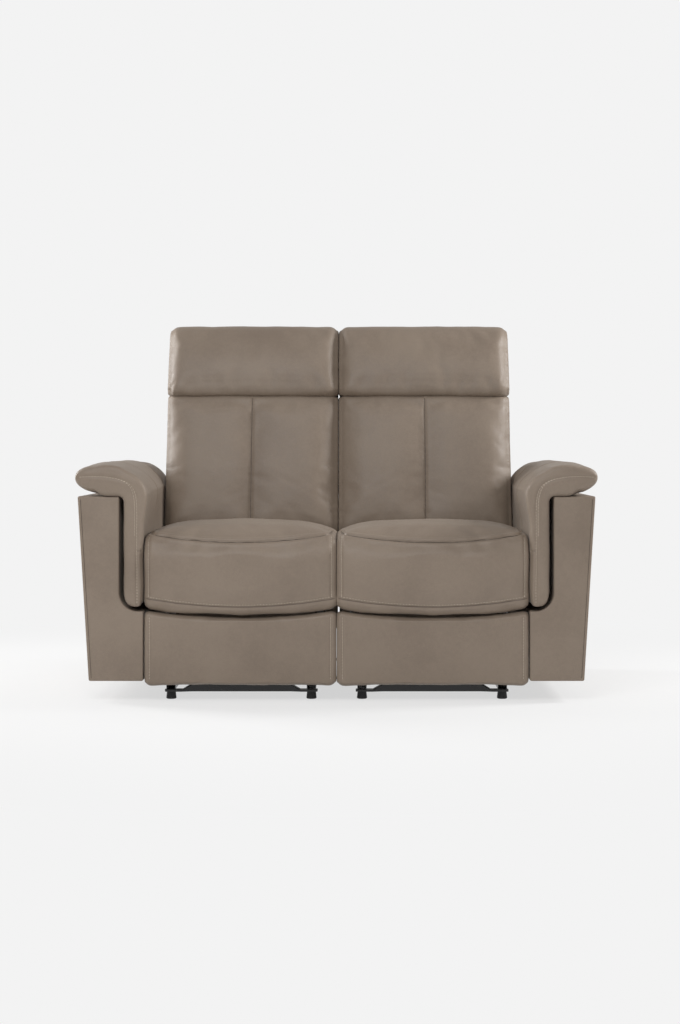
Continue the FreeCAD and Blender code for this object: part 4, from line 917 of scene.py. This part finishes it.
def lumbar_cushion(name, hand, fine):
    """One lumbar cushion's cover: middle seam, creases from a lower corner and by the upper ones."""
    node = f"lumbar_cushion_{name}"
    centre = middle(node).x
    lowest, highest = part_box(node)
    ripple(fine, size=0.2, depth=0.0012, seed=51 + hand)
    for number in range(5):
        run = (0.05 + 0.02 * number) * 1.7
        start = (centre - hand * LUMBAR_CORNER, lowest.y + 0.03, lowest.z + 0.03 + 0.02 * number)
        end = (centre - hand * (LUMBAR_CORNER - run), lowest.y + 0.02, lowest.z + 0.10 + 0.035 * number)
        crease(fine, start, end, depth=0.0016, width=0.009)
    for side in (-1, 1):
        for number in range(3):
            run_in = 0.20 - 0.01 * number
            start = (centre + side * LUMBAR_EDGE, lowest.y + 0.16, highest.z - 0.008 - 0.006 * number)
            end = (centre + side * run_in, lowest.y + 0.15, highest.z - 0.022 - 0.016 * number)
            crease(fine, start, end, depth=0.0022, width=0.006)
    tree = tree_of(fine)
    front = lowest.y - RAY_START
    heights = steps(highest.z - 0.002, lowest.z + 0.01, 90)
    seam = laid(tree, [(centre, front, height) for height in heights], REARWARD)
    sew(fine, as_path(seam), depth=0.0026, width=0.0042, swell=0.0006)
    pucker(fine, as_path(seam), depth=0.00035, spacing=0.021, reach=0.014, phase=hand)
    kept_clear(fine, centre, hand, SEAT_HALF + SIDE_FULL)
    piece = new_piece(f"lumbar_cover_{name}", fine, f"back_{name}", LEATHER)
    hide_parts(node)
    tree = tree_of(fine)
    seam_piece(f"lumbar_seam_{name}", f"back_{name}", [settled(tree, seam)], radius=0.0009, sink=0.0004)


def head_pillow(name, hand, fine):
    """One head pillow's cover, with creases at its lower edge."""
    node = f"head_pillow_{name}"
    centre = middle(node).x
    lowest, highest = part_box(node)
    ripple(fine, size=0.2, depth=0.0012, seed=71 + hand)
    for number, share in enumerate(HEAD_CREASES[name]):
        top = lowest.z + 0.055 + 0.008 * number
        start = (centre + share * SEAT_HALF, lowest.y + 0.02, lowest.z + 0.012)
        end = (centre + (share - 0.10) * SEAT_HALF + 0.05, lowest.y + 0.01, top)
        crease(fine, start, end, depth=0.0018, width=0.006)
    kept_clear(fine, centre, hand, SEAT_HALF + SIDE_FULL)
    piece = new_piece(f"head_cover_{name}", fine, f"back_{name}", LEATHER)
    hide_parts(node)


# Arms: heights above the floor, places across and along from the middle

FACE_SEAM = 0.404
CROSS_SEAMS = (-0.18, 0.11)
PANEL_LEAN = 0.030
PANEL_SEAM_INSET = 0.008
TIP_START, TIP_END, TIP_LINE = 0.640, 0.700, 0.603
BORDER_OVER_ARM = ((0.66, 0.604), (0.691, 0.601))
BORDER_HEIGHTS = (0.262, 0.34, 0.46, 0.555)
BORDER_BEND = ((0.022, 0.590), (0.075, 0.602))
BULGE = 0.012
BULGE_TOP = 0.56
BORDER_INSET = 0.015
OVER_ARM = (0.668, 0.016)
DOWN_SIDE = (0.60, 0.40)
DOUBLE_ASIDE, DOUBLE_UP = 0.0055, 0.0015
DOUBLE_ROW = slice(34, 70)
GATHERED = slice(30, 60)


def smooth_line(corners, count=90):
    """A softly bent line through the plane, its points evenly spaced."""
    curve = np.array(corners, float)
    for _ in range(3):
        first = curve[:-1] * 0.75 + curve[1:] * 0.25
        second = curve[:-1] * 0.25 + curve[1:] * 0.75
        cut = np.empty((len(first) * 2, 2))
        cut[0::2], cut[1::2] = first, second
        curve = np.vstack([curve[:1], cut, curve[-1:]])
    lengths = np.r_[0, np.cumsum(np.linalg.norm(np.diff(curve, axis=0), axis=1))]
    marks = np.linspace(0, lengths[-1], count)
    return [(np.interp(mark, lengths, curve[:, 0]), np.interp(mark, lengths, curve[:, 1])) for mark in marks]


def arm_form(node):
    """One plumped arm cover, its tip drawn out thinner."""
    lowest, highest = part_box(node)
    mesh = remeshed(node, voxel=0.006, rounds=9)
    filled(mesh, lowest, highest, (0, 1, 2))
    points = points_of(mesh)
    tip = smoothstep(np.abs(points[:, 0]), TIP_START, TIP_END)
    points[:, 2] += (points[:, 2] - TIP_LINE) * tip * 0.75
    set_points(mesh, points)
    strip, inner_pad = 0.004, 0.045
    on_panel = points[:, 2] < high("arm_panel_right").z + strip
    outside = np.abs(points[:, 0]) > ARM_INNER + inner_pad
    held = np.zeros(len(points), np.float32)
    held[on_panel & outside] = 1
    held[points[:, 1] > highest.y - strip] = 1
    plumped(mesh, held, pressure=1.2, slack=0.01, cap=0.006)
    return divided(mesh)


def arm_pad(name, hand, fine):
    """One arm's cover: stitched border on its front, a level seam and two seams across."""
    node = f"arm_pad_{name}"
    lowest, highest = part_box(node)
    points = points_of(fine)
    bulge = BULGE * smoothstep(points[:, 2], high("seat_cushion_right").z - 0.02, BULGE_TOP)
    bulge *= smoothstep(-points[:, 1], 0.0, 0.06)
    outer = 1 - smoothstep(np.abs(points[:, 0]), ARM_INNER, ARM_INNER + 0.05)
    inner = np.maximum(np.abs(points[:, 0]), ARM_INNER) - bulge * outer
    points[:, 0] = hand * inner
    set_points(fine, points)
    ripple(fine, size=0.16, depth=0.0008, seed=91 + hand)
    tree = tree_of(fine)
    front = lowest.y - RAY_START

    def on_front(places):
        return laid(tree, [(hand * across, front, height) for across, height in places], REARWARD)

    inner_edge = ARM_INNER + BORDER_INSET
    upright = tuple((inner_edge, height) for height in BORDER_HEIGHTS)
    bend = tuple((inner_edge + across, height) for across, height in BORDER_BEND)
    border = on_front(smooth_line(upright + bend + BORDER_OVER_ARM))
    level = on_front([(across, FACE_SEAM) for across in steps(ARM_INNER + 0.004, inner_edge - 0.001, 10)])
    double = beside(border[DOUBLE_ROW], (hand * DOUBLE_ASIDE, 0, DOUBLE_UP))
    over_arm = steps(OVER_ARM[0], ARM_INNER + OVER_ARM[1], 50)
    down_side = steps(*DOWN_SIDE, 30)
    above, within = 0.8, 0.3
    crosses = []
    for along in CROSS_SEAMS:
        over = laid(tree, [(hand * across, along, above) for across in over_arm], DOWN)
        down = laid(tree, [(hand * within, along, height) for height in down_side], (hand, 0, 0))
        crosses.append(over + down)
    sew(fine, as_path(border), depth=0.0016, width=0.0032, swell=0.0008)
    pucker(fine, as_path(border[GATHERED]), depth=0.0004, spacing=0.012, reach=0.010, phase=hand)
    sew(fine, as_path(level), depth=0.0012, width=0.003, swell=0.0006)
    for row in crosses:
        sew(fine, as_path(row), depth=0.0016, width=0.0034, swell=0.0008)
    piece = new_piece(f"arm_cover_{name}", fine, "base", LEATHER)
    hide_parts(node)
    tree = tree_of(fine)
    rows = [settled(tree, row) for row in (border, double)]
    thread_piece(f"arm_thread_{name}", "base", rows)
    rows = [settled(tree, row) for row in (level, *crosses)]
    seam_piece(f"arm_seam_{name}", "base", rows, radius=0.0009, sink=0.0004)


def board_leather(node, turned):
    """Leather drawn over a board piece, its edges softly turned."""
    edit = bmesh.new()
    edit.from_mesh(NODES[node].data)
    bmesh.ops.remove_doubles(edit, verts=edit.verts, dist=1e-5)
    bmesh.ops.dissolve_limit(edit, angle_limit=0.02, verts=edit.verts, edges=edit.edges)
    sharp = [edge for edge in edit.edges if len(edge.link_faces) == 2 and edge.calc_face_angle(0) > 0.6]
    bmesh.ops.bevel(edit, geom=sharp, offset=turned, segments=4, profile=0.5, affect="EDGES", material=-1)
    bmesh.ops.triangulate(edit, faces=edit.faces)
    return mesh_from(edit, "board_leather")


def arm_panel(name, hand):
    """The leather-covered arm board, with a seam by each upright edge."""
    node = f"arm_panel_{name}"
    lowest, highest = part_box(node)
    mesh = board_leather(node, turned=0.0045)
    piece = new_piece(f"arm_side_cover_{name}", mesh, "base", LEATHER)
    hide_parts(node)
    tree = tree_of(mesh)
    foot, tip = lowest.z, highest.z
    tip_across = max(abs(lowest.x), abs(highest.x))
    lean = PANEL_LEAN / (tip - foot)
    inset = PANEL_SEAM_INSET
    ahead, behind = lowest.y + inset * 2, highest.y - inset * 2
    heights = steps(foot + inset, tip - inset, 60)
    edge = [hand * (tip_across - (tip - height) * lean - inset) for height in heights]
    front = [(across, lowest.y - RAY_START, height) for across, height in zip(edge, heights)]
    rows = [laid(tree, front, REARWARD)]
    for along in (ahead, behind):
        rows.append(laid(tree, [(hand, along, height) for height in heights], (-hand, 0, 0)))
    top = [(hand, along, tip - inset * 2) for along in steps(ahead, behind, 60)]
    rows.append(laid(tree, top, (-hand, 0, 0)))
    seam_piece(f"arm_side_seam_{name}", "base", rows, radius=0.0008, sink=0.0003)
    moves = ((0, THREAD_ASIDE, 0), (0, -THREAD_ASIDE, 0), (0, 0, -THREAD_ASIDE))
    stitched = [settled(tree, beside(row, move)) for row, move in zip(rows[1:], moves)]
    thread_piece(f"arm_side_thread_{name}", "base", stitched)


REAR_SEAM_INSET = 0.024
REAR_SEAM_END = 0.012
REAR_CROSS_INSET = 0.028
REAR_CROSS_RISE = 0.030


def back_cover(name):
    """The leather over the back's outer shell, with its upright and cross seams."""
    node = f"back_shell_{name}"
    lowest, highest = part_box(node)
    mesh = board_leather(node, turned=0.0035)
    piece = new_piece(f"back_cover_{name}", mesh, f"back_{name}", LEATHER)
    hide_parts(node)
    tree = tree_of(mesh)
    rows = []
    stitched = []
    behind = 1.2
    heights = steps(lowest.z + REAR_SEAM_END, highest.z - REAR_SEAM_END, 90)
    for edge, side in ((lowest.x + REAR_SEAM_INSET, 1), (highest.x - REAR_SEAM_INSET, -1)):
        row = laid(tree, [(edge, behind, height) for height in heights], FORWARD)
        rows.append(row)
        stitched.append(beside(row, (side * THREAD_ASIDE, 0, 0)))
    for height in (highest.z - REAR_CROSS_RISE, lowest.z + REAR_CROSS_RISE):
        across = steps(lowest.x + REAR_CROSS_INSET, highest.x - REAR_CROSS_INSET, 60)
        row = laid(tree, [(x, behind, height) for x in across], FORWARD)
        rows.append(row)
        stitched.append(beside(row, (0, 0, -THREAD_ASIDE)))
    seam_piece(f"back_seam_{name}", f"back_{name}", rows, radius=0.0008, sink=0.0003)
    thread_piece(f"back_thread_{name}", f"back_{name}", [settled(tree, row) for row in stitched])


forms = {}
for side_name, side_hand in reversed(SIDES):
    for part, maker, formed in (
        ("seat_cushion", seat_cushion, seat_form),
        ("footrest_pad", footrest_pad, footrest_form),
        ("lumbar_cushion", lumbar_cushion, lambda node: back_form(node, True)),
        ("head_pillow", head_pillow, lambda node: back_form(node, False)),
        ("arm_pad", arm_pad, arm_form),
    ):
        if side_name == "right":
            forms[part] = formed(f"{part}_right")
            maker(side_name, side_hand, forms[part].copy())
        else:
            maker(side_name, side_hand, mirrored(forms[part], part))
    arm_panel(side_name, side_hand)
    back_cover(side_name)


# Studio: metres, millimetres for the lens, pixels of the picture

FLOOR_COLOUR = (0.896, 0.896, 0.896, 1)
SKY_COLOUR = (1, 0.99, 0.98, 1)
NEAR_GLOW = 0.7
GLOW_RADII = (0.7, 2.0)
FOCAL_LENGTH = 65.8
SENSOR = 36
CAMERA_ASIDE = 0.05
CAMERA_AWAY = 5.45
CAMERA_HEIGHT = 0.69
PICTURE_TALL = 1024
SOFA_BELOW = 68
SOFA_LEFT = 2


def studio_floor():
    """A pale floor: it glows to the eye, keeps a soft shadow, and fades to the sky's tone afar."""
    edit = bmesh.new()
    bmesh.ops.create_grid(edit, x_segments=2, y_segments=2, size=40)
    floor = bpy.data.objects.new("studio_floor", mesh_from(edit, "studio_floor", False))
    bpy.context.scene.collection.objects.link(floor)
    paint = Finish("studio_floor")
    path = paint.node("ShaderNodeLightPath")
    mirrored_in = paint.maths("MAXIMUM", path.outputs["Is Glossy Ray"], path.outputs["Is Transmission Ray"])
    seen = paint.maths("MAXIMUM", path.outputs["Is Camera Ray"], mirrored_in)
    radius = paint.node("ShaderNodeVectorMath", {"operation": "LENGTH"}, Vector=paint.place).outputs["Value"]
    far = paint.between(radius, *GLOW_RADII)
    glow = paint.node("ShaderNodeEmission", Color=FLOOR_COLOUR, Strength=1.0)
    paint.surface(Base_Color=FLOOR_COLOUR, Roughness=0.95)
    share = seen * (far * (1 - NEAR_GLOW) + NEAR_GLOW)
    paint.blended(share, paint.shader, glow, "Material Output")
    floor.data.materials.append(paint.material)


def studio_sky(strength):
    """Soft light from all round, seen as the same pale tone as the floor."""
    world = bpy.data.worlds.new("studio")
    bpy.context.scene.world = world
    world.use_nodes = True
    sky = Nodes(world.node_tree)
    light = sky.tree.nodes["Background"]
    sky.feed(light.inputs["Color"], SKY_COLOUR)
    sky.feed(light.inputs["Strength"], strength)
    pale = sky.node("ShaderNodeBackground", Color=FLOOR_COLOUR)
    seen = sky.node("ShaderNodeLightPath").outputs["Is Camera Ray"]
    sky.blended(seen, light, pale, "World Output")


def soft_box(name, place, target, size, power):
    lamp = bpy.data.lights.new(name, "AREA")
    lamp.shape = "RECTANGLE"
    lamp.size, lamp.size_y = size
    lamp.energy = power
    box = bpy.data.objects.new(name, lamp)
    box.location = place
    box.rotation_euler = (Vector(target) - Vector(place)).to_track_quat("-Z", "Y").to_euler()
    bpy.context.scene.collection.objects.link(box)


def camera():
    """Level, a little aside of the middle, so that no light shows between the seats."""
    lens = bpy.data.cameras.new("camera")
    lens.lens = FOCAL_LENGTH
    lens.sensor_width = SENSOR
    lens.shift_y = -SOFA_BELOW / PICTURE_TALL
    lens.shift_x = SOFA_LEFT / PICTURE_TALL - CAMERA_ASIDE / CAMERA_AWAY * FOCAL_LENGTH / SENSOR
    view = bpy.data.objects.new("camera", lens)
    view.location = (CAMERA_ASIDE, -CAMERA_AWAY, CAMERA_HEIGHT)
    view.rotation_euler = (math.pi / 2, 0, 0)
    bpy.context.scene.collection.objects.link(view)
    bpy.context.scene.camera = view


studio_floor()
studio_sky(strength=0.36)
soft_box("front_light", place=(-0.8, -3.2, 2.7), target=(0, 0, 0.5), size=(1.8, 1.4), power=60)
soft_box("left_light", place=(-2.8, 0.9, 1.5), target=(-0.3, 0, 0.7), size=(0.9, 2.0), power=80)
soft_box("right_light", place=(2.6, 0.1, 1.8), target=(0.3, 0, 0.6), size=(0.5, 0.8), power=54)
camera()
bpy.context.scene.view_settings.view_transform = "Standard"
